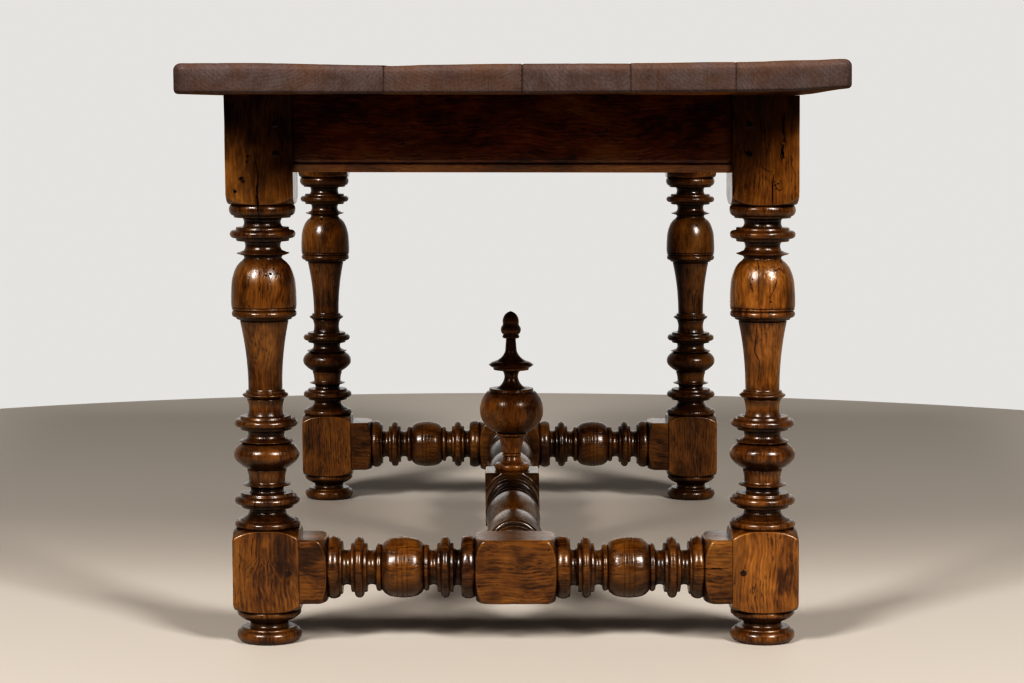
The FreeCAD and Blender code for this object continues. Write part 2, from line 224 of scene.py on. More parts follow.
# Waxed wood. Its noises are (stretch along the grain, scale, detail, roughness). Cloud and stain stretch
# with the flow instead, and stain ends with a distortion
grainTurn = {"x": (0, -math.pi / 2, 0), "y": (math.pi / 2, 0, 0), "z": (0, 0, 0)}
# Tones of the wood; the wax tone is also the colour of painted shade
tones = {"dark": (0.0130, 0.0046, 0.0016), "brown": (0.057, 0.0212, 0.0052),
         "amber": (0.150, 0.0615, 0.0115), "honey": (0.262, 0.122, 0.0260),
         "waxAndShade": (0.0090, 0.0033, 0.0012), "endGrain": (0.106, 0.081, 0.075)}
wood = {"wander": 0.034, "wanderScale": 8,
        "cloud": (15, 4, 0.58), "stain": (12, 4, 0.62, 0.6), "stainStretch": 1.4,
        "patch": (0.40, 42, 3, 0.55), "mottle": (0.36, 130, 4, 0.62), "fibres": (0.06, 330, 3, 0.62),
        "dashes": (0.20, 430, 1.5, 0.5), "ringStretch": 0.22, "ringScale": 66, "ringBend": 3.0,
        "cloudShare": 0.53, "mottleShare": 0.20, "fibreShare": 0.27,
        "lineShare": 0.44, "stainShare": 0.20, "stainFlowShare": 0.52, "dashShare": 0.64,
        "grimeAndShadeShare": 0.75, "wornAndLitShare": 0.40, "wornAndLitLift": (1.45, 1.58, 2.00, 1),
        "rough": 0.24, "bump": 0.36, "bumpDepth": 0.0008}
sawnEnd = {"tone": "dark", "share": 0.60, "from": 0.30, "to": 0.97}
satin = {"coat": 0.60, "coatRough": 0.22, "specular": 0.25}
fan = {"rays": 215, "waver": 6, "waverScale": 90, "brokenScale": 260, "strength": 0.85, "fadeFrom": 0.25,
       "heart": (0.0015, 0.0055), "heartStrength": 0.4, "cone": (0.55, 0.85)}


def fanMask(tree, place, spot, reach):
    # dark rays that fan out downwards from the root of a side shoot, on a face that looks along Y
    near = mapped(tree, place, turn=(math.pi / 2, 0, 0), shift=(-spot[0], spot[2], spot[1]))
    near = put(tree, "VectorMath", {"operation": "MULTIPLY"}, {0: near, 1: (1, 1, 0)}).outputs[0]
    turn = put(tree, "TexGradient", {"gradient_type": "RADIAL"}, {"Vector": near}).outputs["Fac"]
    waver = speckle(tree, near, fan["waverScale"], 3)
    rays = sums(tree, "SINE", blended(tree, (turn, fan["rays"]), (waver, fan["waver"])), 0)
    rays = ramp(tree, plus(tree, times(tree, rays, 0.5), 0.5), [(0.50, 0), (0.90, 1)])
    broken = ramp(tree, speckle(tree, near, fan["brokenScale"], 2), [(0.36, 0.15), (0.56, 1)])
    far = put(tree, "VectorMath", {"operation": "LENGTH"}, {0: near}).outputs["Value"]
    fade = ranged(tree, far, reach * fan["fadeFrom"], reach, fan["strength"], 0)
    heart = ranged(tree, far, *fan["heart"], fan["heartStrength"], 0)
    down = put(tree, "SeparateXYZ", None, {0: near}).outputs["Y"]
    down = ranged(tree, sums(tree, "DIVIDE", down, far), *fan["cone"], smooth=False)
    return sums(tree, "MAXIMUM", heart, times(tree, times(tree, rays, broken), fade, down))


def waxedWood(name, axis, centre, pith, seed, depth=1.0, shade=1.0, tint=(1, 1, 1), flow=0.5,
              end=sawnEnd, gloss=satin, fans=()):
    # grain runs along the axis; the pith is an offset from the piece's centre, across the grain
    made = bpy.data.materials.new(name)
    made.use_nodes = True
    tree = made.node_tree
    shader = tree.nodes["Principled BSDF"]
    tone = {key: (*(part * depth for part in colour), 1) for key, colour in tones.items()}
    tone["endGrain"] = (*tones["endGrain"], 1)
    for key in ("dark", "brown", "amber"):
        tone[key] = (*(part * share for part, share in zip(tone[key], tint)), 1)
    place = put(tree, "TexCoord").outputs
    turn = grainTurn[axis]
    shift = Vector((pith[0], pith[1], seed)) - Euler(turn).to_matrix() @ Vector(centre)
    grain = mapped(tree, place["Object"], turn=turn, shift=shift)
    calm = mapped(tree, grain, scale=(1, 1, 2 * flow))
    wander = put(tree, "TexNoise", None, {"Vector": calm, "Scale": wood["wanderScale"], "Detail": 3})
    bent = put(tree, "VectorMath", {"operation": "MULTIPLY_ADD"},
               {0: wander.outputs["Color"], 1: (wood["wander"], wood["wander"], 0), 2: grain}).outputs[0]

    def stretched(share):
        return mapped(tree, bent, scale=(1, 1, share))

    def streaks(share, *look):
        return speckle(tree, stretched(share), *look)

    rings = put(tree, "TexWave", {"wave_type": "RINGS", "rings_direction": "Z", "wave_profile": "SAW"},
                {"Vector": stretched(wood["ringStretch"]), "Scale": wood["ringScale"],
                 "Distortion": wood["ringBend"], "Detail": 3, "Detail Scale": 1.1,
                 "Detail Roughness": 0.62}).outputs["Fac"]
    cloud = streaks(flow, *wood["cloud"])
    patch, mottle, fibres = (streaks(*wood[key]) for key in ("patch", "mottle", "fibres"))
    dashes = ramp(tree, streaks(*wood["dashes"]), [(0.56, 0), (0.63, 1)])
    dashes = times(tree, dashes, ramp(tree, patch, [(0.42, 0.1), (0.62, 1)]))
    lines = ramp(tree, rings, [(0.50, 0), (0.88, 1), (0.99, 0.4)])
    lines = times(tree, lines, ramp(tree, patch, [(0.34, 0.2), (0.62, 1)]))
    stain = ramp(tree, streaks(wood["stainStretch"] * flow, *wood["stain"]), [(0.47, 0), (0.66, 1)])

    # base figure
    figure = blended(tree, (cloud, wood["cloudShare"]), (mottle, wood["mottleShare"]),
                     (fibres, wood["fibreShare"]))
    colour = ramp(tree, figure, [(0.32, tone["dark"]), (0.425, tone["brown"]), (0.50, tone["amber"]),
                                 (0.66, tone["honey"])])
    stainShare = wood["stainShare"] + wood["stainFlowShare"] * flow
    for mark, share in ((lines, wood["lineShare"]), (stain, stainShare), (dashes, wood["dashShare"])):
        colour = mixed(tree, times(tree, mark, share), colour, tone["dark"])
    colour = mixed(tree, 1.0, colour, (shade, shade, shade, 1), "MULTIPLY")
    for spot, reach in fans:
        colour = mixed(tree, fanMask(tree, place["Object"], spot, reach), colour, tone["dark"])

    # end grain, greyer, with faint rings and saw marks
    facing = put(tree, "Mapping", {"vector_type": "NORMAL"}, {"Vector": place["Normal"], "Rotation": turn})
    across = put(tree, "SeparateXYZ", None, {0: facing.outputs[0]}).outputs["Z"]
    across = sums(tree, "ABSOLUTE", across, 0)
    across = ranged(tree, across, end["from"], end["to"], 0, end["share"], smooth=False)
    sawn = speckle(tree, mapped(tree, grain, scale=(1, 0.08, 1), turn=(0, 0, 0.9)), 420, 2, 0.6)
    dots = speckle(tree, grain, 300, 3, 0.65)
    grey = blended(tree, (patch, 0.45), (dots, 0.35), (sawn, 0.16), (lines, -0.08))
    dull = mixed(tree, ramp(tree, grey, [(0.33, 0.60), (0.57, 0)]), tone[end["tone"]], tone["brown"])
    dull = mixed(tree, ramp(tree, cloud, [(0.48, 0), (0.72, 0.28)]), dull, tone["amber"])
    dull = mixed(tree, ramp(tree, sawn, [(0.66, 0), (0.76, 0.25)]), dull, tone["honey"])
    colour = mixed(tree, across, colour, dull)

    # old wax in the hollows, worn brighter on the crests; the same marks also carry painted shade (the top's
    # shadow on the leg heads, darker faces that look down) and painted light (the lit lower part of the leg
    # heads, highlights along block creases and on the apron beads)
    patinaAndPaintedLight = put(tree, "Attribute", {"attribute_name": "patinaAndPaintedLight"}).outputs["Fac"]
    grimeAndShade = times(tree, patinaAndPaintedLight, -1.0, clamp=True)
    wornAndLit = times(tree, times(tree, patinaAndPaintedLight, 1.0, clamp=True), ramp(tree, cloud, [(0.32, 0.55), (0.56, 1)]))
    colour = mixed(tree, times(tree, grimeAndShade, wood["grimeAndShadeShare"]), colour, tone["waxAndShade"])
    colour = mixed(tree, times(tree, wornAndLit, wood["wornAndLitShare"]), colour, tone["honey"])
    colour = mixed(tree, wornAndLit, colour, wood["wornAndLitLift"], "MULTIPLY")
    tree.links.new(colour, shader.inputs["Base Color"])

    rough = plus(tree, blended(tree, (mottle, 0.16), (dashes, 0.12), (across, 0.10)), wood["rough"])
    tree.links.new(rough, shader.inputs["Roughness"])
    height = blended(tree, (mottle, 0.7), (fibres, 0.35), (dashes, -0.5))
    bump = put(tree, "Bump", None, {"Strength": wood["bump"], "Distance": wood["bumpDepth"], "Height": height})
    tree.links.new(bump.outputs[0], shader.inputs["Normal"])
    tree.links.new(bump.outputs[0], shader.inputs["Coat Normal"])
    shader.inputs["Coat Weight"].default_value = gloss["coat"]
    shader.inputs["Coat Roughness"].default_value = gloss["coatRough"]
    shader.inputs["Specular IOR Level"].default_value = gloss["specular"]
    return made


def crackDust():
    # the dull dark inside of checks and worm holes
    made = bpy.data.materials.new("crack_dust")
    made.use_nodes = True
    tree = made.node_tree
    shader = tree.nodes["Principled BSDF"]
    dust = speckle(tree, put(tree, "TexCoord").outputs["Object"], 400, 3)
    colour = ramp(tree, dust, [(0.35, (0.004, 0.002, 0.0015, 1)), (0.7, (0.018, 0.009, 0.005, 1))])
    tree.links.new(colour, shader.inputs["Base Color"])
    tree.links.new(plus(tree, times(tree, dust, 0.2), 0.75), shader.inputs["Roughness"])
    return made


dustInside = crackDust()
print("finishes ready")

# Unit outlines of turned work: (along, out) is a straight run to there, and (along, out, along, out) is an arc
# through the first place to the second
outlines = {
    "rise": ((0, 0.62), (0.25, 0.835, 1, 1)),
    "recess": ((0, 0.64), (0.6, 0.66, 1, 0.76)),
    "plain": ((0, 1), (1, 1)),
    "ring": ((0, 0.92), (0.5, 1, 1, 0.92)),
    "bead": ((0, 0.86), (0.5, 1, 1, 0.86)),
    "neck": ((0, 1.10), (0.5, 1, 1, 1.10)),
    "flange": ((0, 0.80), (0.21, 0.82), (0.21, 0.87), (0.5, 1, 0.79, 0.87), (0.79, 0.82), (1, 0.80)),
    "stepRing": ((0, 0.85), (0.16, 0.87), (0.16, 0.91), (0.55, 1, 0.94, 0.96), (1, 0.93)),
    "base": ((0, 0.94), (0.27, 1, 0.54, 0.93), (0.56, 0.84), (0.66, 0.82), (0.85, 0.66, 1, 0.58)),
    "cup": ((0, 0.90), (0.5, 0.91, 1, 1)),
    "bulb": ((0, 0.585), (0.06, 0.62), (0.20, 0.80, 0.36, 0.935), (0.57, 1, 0.78, 0.955),
             (0.90, 0.87, 1, 0.755)),
    "lip": ((0, 0.80), (0.10, 0.86), (0.38, 1), (0.50, 1), (0.62, 0.90), (0.80, 0.83, 1, 0.76)),
    "rim": ((0, 0.79), (0.12, 0.84), (0.44, 1), (0.54, 1), (0.72, 0.87), (0.74, 0.83), (0.92, 0.85),
            (1, 0.79)),
    "taper": ((0, 0.70), (0.55, 0.785, 1, 1)),
    "collar": ((0, 0.72), (0.10, 0.74), (0.12, 0.84), (0.24, 0.86), (0.26, 0.90), (0.49, 1, 0.72, 0.95),
               (0.75, 0.93), (0.79, 0.985), (0.90, 0.99), (0.93, 0.96), (0.97, 0.995), (1, 1)),
    "dome": ((0, 1), (0.20, 1, 0.40, 0.986), (0.62, 0.945, 0.80, 0.855), (0.91, 0.755, 1, 0.60)),
    "ball": ((0, 0.75), (0.10, 0.885, 0.25, 0.962), (0.365, 0.988), (0.378, 0.965), (0.391, 0.99),
             (0.487, 1), (0.5, 0.975), (0.513, 1), (0.609, 0.99), (0.622, 0.965), (0.635, 0.988),
             (0.75, 0.962), (0.90, 0.885, 1, 0.75)),
    "bun": ((0, 0.78), (0.37, 1, 0.83, 0.92), (0.86, 0.87), (1, 0.84)),
    "footRing": ((0, 0.64), (0.30, 0.88, 0.62, 1), (0.88, 1), (1, 0.96)),
    "barrel": ((0, 0.88), (0.42, 1, 1, 0.70)),
    "bell": ((0, 1), (0.38, 0.66, 1, 0.56)),
    "goblet": ((0, 0.69), (0.5, 0.80, 1, 1)),
    "globe": ((0, 0.61), (0.20, 0.88, 0.52, 1), (0.80, 0.94, 1, 0.75)),
    "stem": ((0, 1), (0.20, 0.63, 0.60, 0.42), (0.82, 0.46, 1, 0.62)),
    "disc": ((0, 0.85), (0.42, 1), (0.80, 0.87), (0.88, 0.82), (1, 0.74)),
    "spire": ((0, 1), (0.18, 0.57, 0.45, 0.34), (1, 0.28)),
    "acorn": ((0, 0.80), (0.20, 1, 0.38, 0.82), (0.45, 0.78), (0.80, 0.66, 1, 0.06)),
}
lathe = {"steps": 96, "pitch": 0.0026, "ease": 0.0004, "easeShare": 0.4, "sharp": 25, "smoothTo": 46,
         "cornerShare": 1.5, "creaseSoft": 0.0036, "creaseRun": 0.006, "blockPitch": 0.0045, "closing": 1.9}
creaseSteps = (-1, -0.8, -0.6, -0.42, -0.27, -0.14, 0, 0.14, 0.27, 0.42, 0.6, 0.8, 1)
# How wax and wear lie on turned work, where a painted highlight runs along the block creases, and the pitch of
# the noises that make it uneven
rubbing = {"grimeReach": 0.009, "crestReach": 0.005, "crestFrom": 0.985, "crestRise": 0.004,
           "crestGrime": 0.22, "busyRange": 0.012, "arrisVary": 0.7, "arrisNoise": 40, "waveNoise": 22,
           "wobbleNoise": 14, "chipNoise": 75, "chipFrom": 0.18, "creaseGlintWidth": 0.0035, "creaseGlintShare": 0.8,
           "cornerShare": 0.5, "cornerFrom": 1.25, "cornerRange": 0.164, "least": 0.05}


def straight(start, end):
    count = max(1, math.ceil(math.dist(start, end) / lathe["pitch"]))
    return [(start[0] + (end[0] - start[0]) * n / count, start[1] + (end[1] - start[1]) * n / count)
            for n in range(1, count + 1)]


def arc(start, through, end):
    # points on the circle through three points, after the first
    (ax, ay), (bx, by), (cx, cy) = start, through, end
    twist = 2 * (ax * (by - cy) + bx * (cy - ay) + cx * (ay - by))
    if abs(twist) < 1e-12:
        return straight(start, end)
    a, b, c = ax * ax + ay * ay, bx * bx + by * by, cx * cx + cy * cy
    ux = (a * (by - cy) + b * (cy - ay) + c * (ay - by)) / twist
    uy = (a * (cx - bx) + b * (ax - cx) + c * (bx - ax)) / twist
    radius = math.dist((ux, uy), start)
    first, middle, last = (math.atan2(y - uy, x - ux) for x, y in (start, through, end))
    sweep = (last - first) % (2 * math.pi)
    if (middle - first) % (2 * math.pi) > sweep:
        sweep -= 2 * math.pi
    count = max(4, math.ceil(abs(sweep) * radius / lathe["pitch"]))
    turns = [first + sweep * n / count for n in range(1, count + 1)]
    return [(ux + radius * math.cos(turn), uy + radius * math.sin(turn)) for turn in turns]


def turnedRun(elements, base, length, radius):
    # (height, radius) points of a run of elements, each an outline with its shares of length and radius
    points = []
    whole = sum(run for _, run, _ in elements)
    for shape, run, reach in elements:
        for row in outlines[shape]:
            stops = [(base + length * run / whole * along, radius * reach * out)
                     for along, out in zip(row[::2], row[1::2])]
            if not points:
                points.append(stops[0])
            elif len(stops) == 2:
                points += arc(points[-1], *stops)
            elif math.dist(points[-1], stops[0]) > 1e-6:
                points += straight(points[-1], stops[0])
        base += length * run / whole
    return points


def upended(points, length):
    return [(length - z, r) for z, r in reversed(points)]


def eased(points):
    # takes the keen edge off every sharp corner of an outline
    made = [points[0]]
    for before, here, after in zip(points, points[1:], points[2:]):
        one, two = Vector(here) - Vector(before), Vector(after) - Vector(here)
        if one.length > 0 and two.length > 0 and one.angle(two) > math.radians(lathe["sharp"]):
            cut = min(lathe["ease"], one.length * lathe["easeShare"], two.length * lathe["easeShare"])
            made.append(tuple(Vector(here) - one.normalized() * cut))
            made.append(tuple(Vector(here) + two.normalized() * cut))
        else:
            made.append(here)
    return made + [points[-1]]


def turnRows(points):
    return [{"z": z, "r": r, "block": None} for z, r in eased(points)]


def shoulder(shape, run, half):
    # a shoulder's outline as (distance from the block's end, radius)
    return {"run": run, "curve": turnedRun([(shape, 1, lathe["cornerShare"])], 0, run, half)}


def shoulderReach(edge, far):
    if edge is None or far >= edge["run"]:
        return 1.0
    for (d0, r0), (d1, r1) in zip(edge["curve"], edge["curve"][1:]):
        if far <= d1:
            return r0 + (r1 - r0) * max(0, far - d0) / max(d1 - d0, 1e-9)
    return 1.0


def creaseAt(edge, reach):
    # how far from the block's end a shoulder meets a face that stands at reach
    if edge is None:
        return 0.0
    for (d0, r0), (d1, r1) in zip(edge["curve"], edge["curve"][1:]):
        if r1 >= reach:
            return d0 + (d1 - d0) * max(0, reach - r0) / max(r1 - r0, 1e-9)
    return edge["run"]


def blockRows(z0, z1, half, low=None, high=None):
    # rows of a square block between its shoulders
    block = {"z0": z0, "z1": z1, "half": half, "low": low, "high": high}
    parts = [("low", s) for s in creaseSteps] if low else [("end", 0)]
    count = max(2, round((z1 - z0) / lathe["blockPitch"]))
    parts += [("plain", n / count) for n in range(1, count)]
    parts += [("high", s) for s in reversed(creaseSteps)] if high else [("end", 1)]
    rows = []
    for part, at in parts:
        row = {"block": block, "part": part, "at": at, "r": half}
        row["z"] = blockHeight(row, half)
        rows.append(row)
    return rows


def blockHeight(row, reach):
    block = row["block"]
    low = block["z0"] + creaseAt(block["low"], reach)
    high = block["z1"] - creaseAt(block["high"], reach)
    at = row["at"]
    if row["part"] == "end":
        return high if at else low
    if row["part"] == "plain":
        lowEnd = low + (lathe["creaseRun"] if block["low"] else 0)
        highEnd = high - (lathe["creaseRun"] if block["high"] else 0)
        return lowEnd + (highEnd - lowEnd) * at
    start, way = (low, 1) if row["part"] == "low" else (high, -1)
    depth = low - block["z0"] if row["part"] == "low" else block["z1"] - high
    return start + way * (lathe["creaseRun"] * at * at if at > 0 else -depth * at * at)


def softMin(a, b, soft):
    near = max(soft - abs(a - b), 0) / soft
    return min(a, b) - near * near * soft / 4


def facePoint(column, half, arris):
    # a point of the square's rounded outline, with the columns closing up towards the corners
    quarter = lathe["steps"] // 4
    side, place = divmod(column + quarter // 2, quarter)
    share = (place - quarter // 2) / (quarter / 2)
    out, over = half, half * (1 - (1 - abs(share)) ** lathe["closing"])
    if over > half - arris:
        corner = Vector((arris, over - half + arris)).normalized() * arris
        out, over = half - arris + corner.x, half - arris + corner.y
    point = Vector((out, math.copysign(over, share)))
    point.rotate(Matrix.Rotation(side * math.pi / 2, 2))
    return point


def markPatina(rows, grimeAndShade):
    # -1 in narrow hollows, where wax and dirt gather, up to 1 on crests that hands and feet wear
    for row in rows:
        near = [other["r"] for other in rows if abs(other["z"] - row["z"]) < rubbing["grimeReach"]]
        close = [other["r"] for other in rows if abs(other["z"] - row["z"]) < rubbing["crestReach"]]
        hollow = 1 - row["r"] / max(max(near), 1e-6)
        high = row["r"] - min(near) > rubbing["crestRise"]
        crest = row["r"] >= rubbing["crestFrom"] * max(close) and high
        busy = min(1, (max(near) - min(near)) / rubbing["busyRange"])
        row["patinaAndPaintedLight"] = -rubbing["crestGrime"] * busy if crest else -min(1.0, grimeAndShade * hollow)
        row["crest"] = crest


def turnPiece(rows, wearAndShade, place):
    # spins the rows about Z, squares the blocks, wears the surface, paints a highlight along the block creases
    # and shade on faces that look down, and puts the piece in its place
    markPatina(rows, wearAndShade["grimeAndShade"])
    bm = bmesh.new()
    rowOf = bm.verts.layers.int.new("row")
    patinaAndPaintedLight = bm.verts.layers.float.new("patinaAndPaintedLight")
    ends = [{**rows[0], "r": 0, "pole": True}, {**rows[-1], "r": 0, "pole": True}]
    allRows = [ends[0], *rows, ends[1]]
    chain = []
    for number, row in enumerate(allRows):
        vert = bm.verts.new((row["r"], 0, row["z"]))
        vert[rowOf] = number
        vert[patinaAndPaintedLight] = row["patinaAndPaintedLight"]
        chain.append(vert)
    edges = [bm.edges.new(pair) for pair in zip(chain, chain[1:])]
    bmesh.ops.spin(bm, geom=chain + edges, cent=(0, 0, 0), axis=(0, 0, 1), angle=2 * math.pi,
                   steps=lathe["steps"], use_merge=True)
    seed = Vector(wearAndShade["seed"])
    for vert in bm.verts:
        row = allRows[vert[rowOf]]
        if "pole" in row:
            continue
        turn = math.atan2(vert.co.y, vert.co.x)
        column = round(turn / (2 * math.pi) * lathe["steps"]) % lathe["steps"]
        if row["block"]:
            half = row["block"]["half"]
            side = column // (lathe["steps"] // 4)
            uneven = noise.noise(seed + Vector((side, 0, row["z"] * rubbing["arrisNoise"])))
            point = facePoint(column, half, wearAndShade["arris"] * (1 + rubbing["arrisVary"] * uneven))
            reach = point.length
            height = blockHeight(row, reach)
            limit = min(shoulderReach(row["block"]["low"], height - row["block"]["z0"]),
                        shoulderReach(row["block"]["high"], row["block"]["z1"] - height))
            flat = point * (softMin(limit, reach, lathe["creaseSoft"]) / reach)
            spot = Vector((flat.x, flat.y, height))
            wave = wearAndShade["wave"] * noise.noise(seed + spot * rubbing["waveNoise"])
            # painted highlight: a lighter line along the crease where a block's face meets its shoulder; the
            # corners get real wear
            creaseGlint = max(0, 1 - abs(limit - reach) / rubbing["creaseGlintWidth"])
            corner = max(0, (reach / half - rubbing["cornerFrom"]) / rubbing["cornerRange"])
            wearAndGlint = max(rubbing["cornerShare"] * corner, rubbing["creaseGlintShare"] * creaseGlint)
            vert[patinaAndPaintedLight] = wearAndGlint if wearAndGlint > rubbing["least"] or limit > reach else -wearAndShade["cap"]
        else:
            spot = Vector((row["r"] * math.cos(turn), row["r"] * math.sin(turn), row["z"]))
            wave = wearAndShade["wobble"] * noise.noise(seed + spot * rubbing["wobbleNoise"])
            if row["crest"]:
                chip = noise.noise(seed + spot * rubbing["chipNoise"]) - rubbing["chipFrom"]
                wave -= wearAndShade["chip"] * max(0, chip)
        out = Vector((spot.x, spot.y, 0)).normalized()
        vert.co = spot + out * wave
    poles = [vert for vert in bm.verts if "pole" in allRows[vert[rowOf]]]
    bmesh.ops.remove_doubles(bm, verts=poles, dist=1e-6)
    bm.verts.layers.int.remove(rowOf)
    bmesh.ops.transform(bm, matrix=place, verts=bm.verts)
    bmesh.ops.recalc_face_normals(bm, faces=bm.faces)
    bm.normal_update()
    for vert in bm.verts:       # painted shade: faces that look down are darkened
        vert[patinaAndPaintedLight] -= wearAndShade["under"] * max(0, -vert.normal.z)
    return bm


def addPiece(name, bm, finish):
    # a finished bmesh as a piece that stands for the node of its name
    for vert in bm.verts:
        vert.co.x += leanAt(vert.co.z)
    mesh = bpy.data.meshes.new(name)
    bm.to_mesh(mesh)
    bm.free()
    mesh.shade_smooth()
    mesh.set_sharp_from_angle(angle=math.radians(lathe["smoothTo"]))
    mesh.materials.append(finish)
    made = bpy.data.objects.new(name, mesh)
    bpy.context.scene.collection.objects.link(made)
    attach(made, "root")
    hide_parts(name)
    return made


# Checks, worm holes and pits, cut out of a finished piece and placed as seen from one side, by (across, up)
cutter = {"proud": 0.0015, "stepLength": 0.0022, "wiggle": 0.0011, "wiggleNoise": 260, "slim": 0.55,
          "raggedNoise": 170, "least": 0.00008, "mouth": 1.4, "root": 0.12, "pitNoise": 900, "pitSink": 0.15}
views = {
    "front": {"from": Vector((0, -3, 0)), "across": Vector((1, 0, 0)), "way": Vector((0, 1, 0))},
    "back": {"from": Vector((0, 3, 0)), "across": Vector((1, 0, 0)), "way": Vector((0, -1, 0))},
    "left": {"from": Vector((-3, 0, 0)), "across": Vector((0, 1, 0)), "way": Vector((1, 0, 0))},
    "right": {"from": Vector((3, 0, 0)), "across": Vector((0, 1, 0)), "way": Vector((-1, 0, 0))},
}


def check(width, depth, *path, view="front"):
    return {"path": path, "width": width, "depth": depth, "view": view}


def pathAt(points, share):
    # a place on a path of straight runs, by its share of the whole length
    lengths = [math.dist(a, b) for a, b in zip(points, points[1:])]
    left = share * sum(lengths)
    for (a, b), length in zip(zip(points, points[1:]), lengths):
        if left <= length:
            return Vector(a).lerp(Vector(b), left / length)
        left -= length
    return Vector(points[-1])


def seen(surface, here, view):
    # where a line of sight through (across, up) meets the piece
    start = view["from"] + view["across"] * here[0] + Vector((leanAt(here[1]), 0, here[1]))
    spot, facing, _, _ = surface.ray_cast(start, view["way"])
    return None if spot is None else (spot, facing)


def addCheck(bm, surface, points, width, depth, view):
    # a check: a thin blade laid along a path, as seen along the view
    length = sum(math.dist(a, b) for a, b in zip(points, points[1:]))
    count = max(4, math.ceil(length / cutter["stepLength"]))
    known = len(bm.verts)
    blade = bmesh.ops.create_cube(bm, size=2)["verts"]
    long = {edge for vert in blade for edge in vert.link_edges
            if abs(edge.verts[0].co.z - edge.verts[1].co.z) > 1}
    bmesh.ops.subdivide_edges(bm, edges=list(long), cuts=count - 1, use_grid_fill=True)
    bm.verts.ensure_lookup_table()
    hit = seen(surface, points[0], view)
    for vert in bm.verts[known:]:
        share = (vert.co.z + 1) / 2
        here = pathAt(points, share)
        way = (pathAt(points, min(1, share + 0.02)) - pathAt(points, max(0, share - 0.02))).normalized()
        across, up = here * cutter["wiggleNoise"]
        wander = cutter["wiggle"] * noise.noise(Vector((across, up, width * 9e3)))
        hit = seen(surface, here, view) or hit
        spot, facing = hit
        side = view["across"] * -way.y + Vector((0, 0, 1)) * way.x
        side = (side - facing * side.dot(facing)).normalized()
        across, up = here * cutter["raggedNoise"]
        ragged = 0.75 + 0.9 * noise.noise(Vector((across, up, 5)))
        bulge = math.sin(math.pi * share)
        half = cutter["slim"] * width / 2 * ragged * math.sqrt(max(0.02, bulge)) + cutter["least"]
        outer = vert.co.y < 0
        spread = vert.co.x * half * (cutter["mouth"] if outer else cutter["root"]) + wander
        sink = -cutter["proud"] if outer else depth * (0.25 + 0.75 * bulge)
        vert.co = spot - facing * sink + side * spread


def addPit(bm, surface, here, size, view):
    hit = seen(surface, here, view)
    if hit is None:
        return
    spot, facing = hit
    ball = bmesh.ops.create_icosphere(bm, subdivisions=2, radius=size)["verts"]
    for vert in ball:
        vert.co *= 1 + 0.35 * noise.noise(vert.co * cutter["pitNoise"] + spot * 500)
        vert.co += spot - facing * size * cutter["pitSink"]


def carve(piece, checks, pits):
    # cuts the listed checks and pits out of a piece, and keeps the result as its mesh
    source = bmesh.new()
    source.from_mesh(piece.data)
    surface = BVHTree.FromBMesh(source)
    source.free()
    bm = bmesh.new()
    for one in checks:
        addCheck(bm, surface, one["path"], one["width"], one["depth"], views[one["view"]])
    for here, size, view in pits:
        addPit(bm, surface, here, size, views[view])
    bmesh.ops.recalc_face_normals(bm, faces=bm.faces)
    mesh = bpy.data.meshes.new("cutter")
    bm.to_mesh(mesh)
    bm.free()
    mesh.materials.append(dustInside)
    tool = bpy.data.objects.new("cutter", mesh)
    bpy.context.scene.collection.objects.link(tool)
    cut = piece.modifiers.new("checks", "BOOLEAN")
    cut.object = tool
    cut.solver = "MANIFOLD"
    cut.material_mode = "TRANSFER"
    graph = bpy.context.evaluated_depsgraph_get()
    result = bpy.data.meshes.new_from_object(piece.evaluated_get(graph), depsgraph=graph)
    piece.modifiers.clear()
    piece.data = result
    result.set_sharp_from_angle(angle=math.radians(lathe["smoothTo"]))
    bpy.data.objects.remove(tool)


def scatter(seed, count, across, up, sizes, faces):
    # pits strewn over a part of a piece, the same ones each run
    dice = random.Random(seed)
    return [((dice.uniform(*across), dice.uniform(*up)), dice.uniform(*sizes), dice.choice(faces))
            for _ in range(count)]


# Legs
leg = {"foot": 0.0435, "lowerBlock": 0.110, "turned": 0.4295, "upperBlock": 0.1435, "shoulder": 0.020,
       "wearAndShade": {"arris": 0.0030, "wave": 0.00045, "wobble": 0.00035, "chip": 0.0016, "cap": 0.55,
                "grimeAndShade": 1.6, "under": 0.4},
       "footTurning": [("bun", 0.45, 0.977), ("neck", 0.20, 0.57), ("footRing", 0.35, 0.966)],
       "turning": [("base", 0.041, 0.990), ("neck", 0.022, 0.545), ("flange", 0.045, 0.985),
                   ("neck", 0.020, 0.490), ("lip", 0.012, 0.725), ("cup", 0.040, 0.605),
                   ("bulb", 0.083, 0.985), ("lip", 0.014, 0.810), ("neck", 0.028, 0.545),
                   ("flange", 0.042, 0.955), ("neck", 0.052, 0.510), ("rim", 0.028, 0.695),
                   ("taper", 0.215, 0.730), ("collar", 0.045, 0.980), ("dome", 0.143, 0.980),
                   ("neck", 0.014, 0.560), ("lip", 0.014, 0.790), ("neck", 0.030, 0.525),
                   ("flange", 0.042, 0.985), ("neck", 0.030, 0.550), ("stepRing", 0.040, 0.995)],
       # paintedShadow: how the painted shadow of the top falls on a leg's head, by height, by closeness to the
       # inner side and with blotches
       "paintedShadow": {"up": 1.0, "inner": 0.8, "blotch": 0.25, "blotchNoise": 30}, "dome": (0.450, 0.512)}
# per leg: tone depth and seed, dome polish, and the reach of the painted shadow of the top on the leg's head
# and of the painted light below it
legAgesAndShadows = {"near_left": {"depth": 0.95, "seed": 0.0, "polish": 0.05, "paintedShadow": 1.10, "bareAndLit": 1.5},
           "near_right": {"depth": 1.27, "seed": 2.9, "polish": 0.42, "paintedShadow": 0.84, "bareAndLit": 0.45},
           "far_left": {"depth": 1.12, "seed": 3.4, "polish": 0.45, "paintedShadow": 0.85, "bareAndLit": 0.8},
           "far_right": {"depth": 1.00, "seed": 5.1, "polish": 0.40, "paintedShadow": 0.85, "bareAndLit": 0.8}}
legFans = {"near_left": [((-0.329, -0.664, 0.1295), 0.062)]}
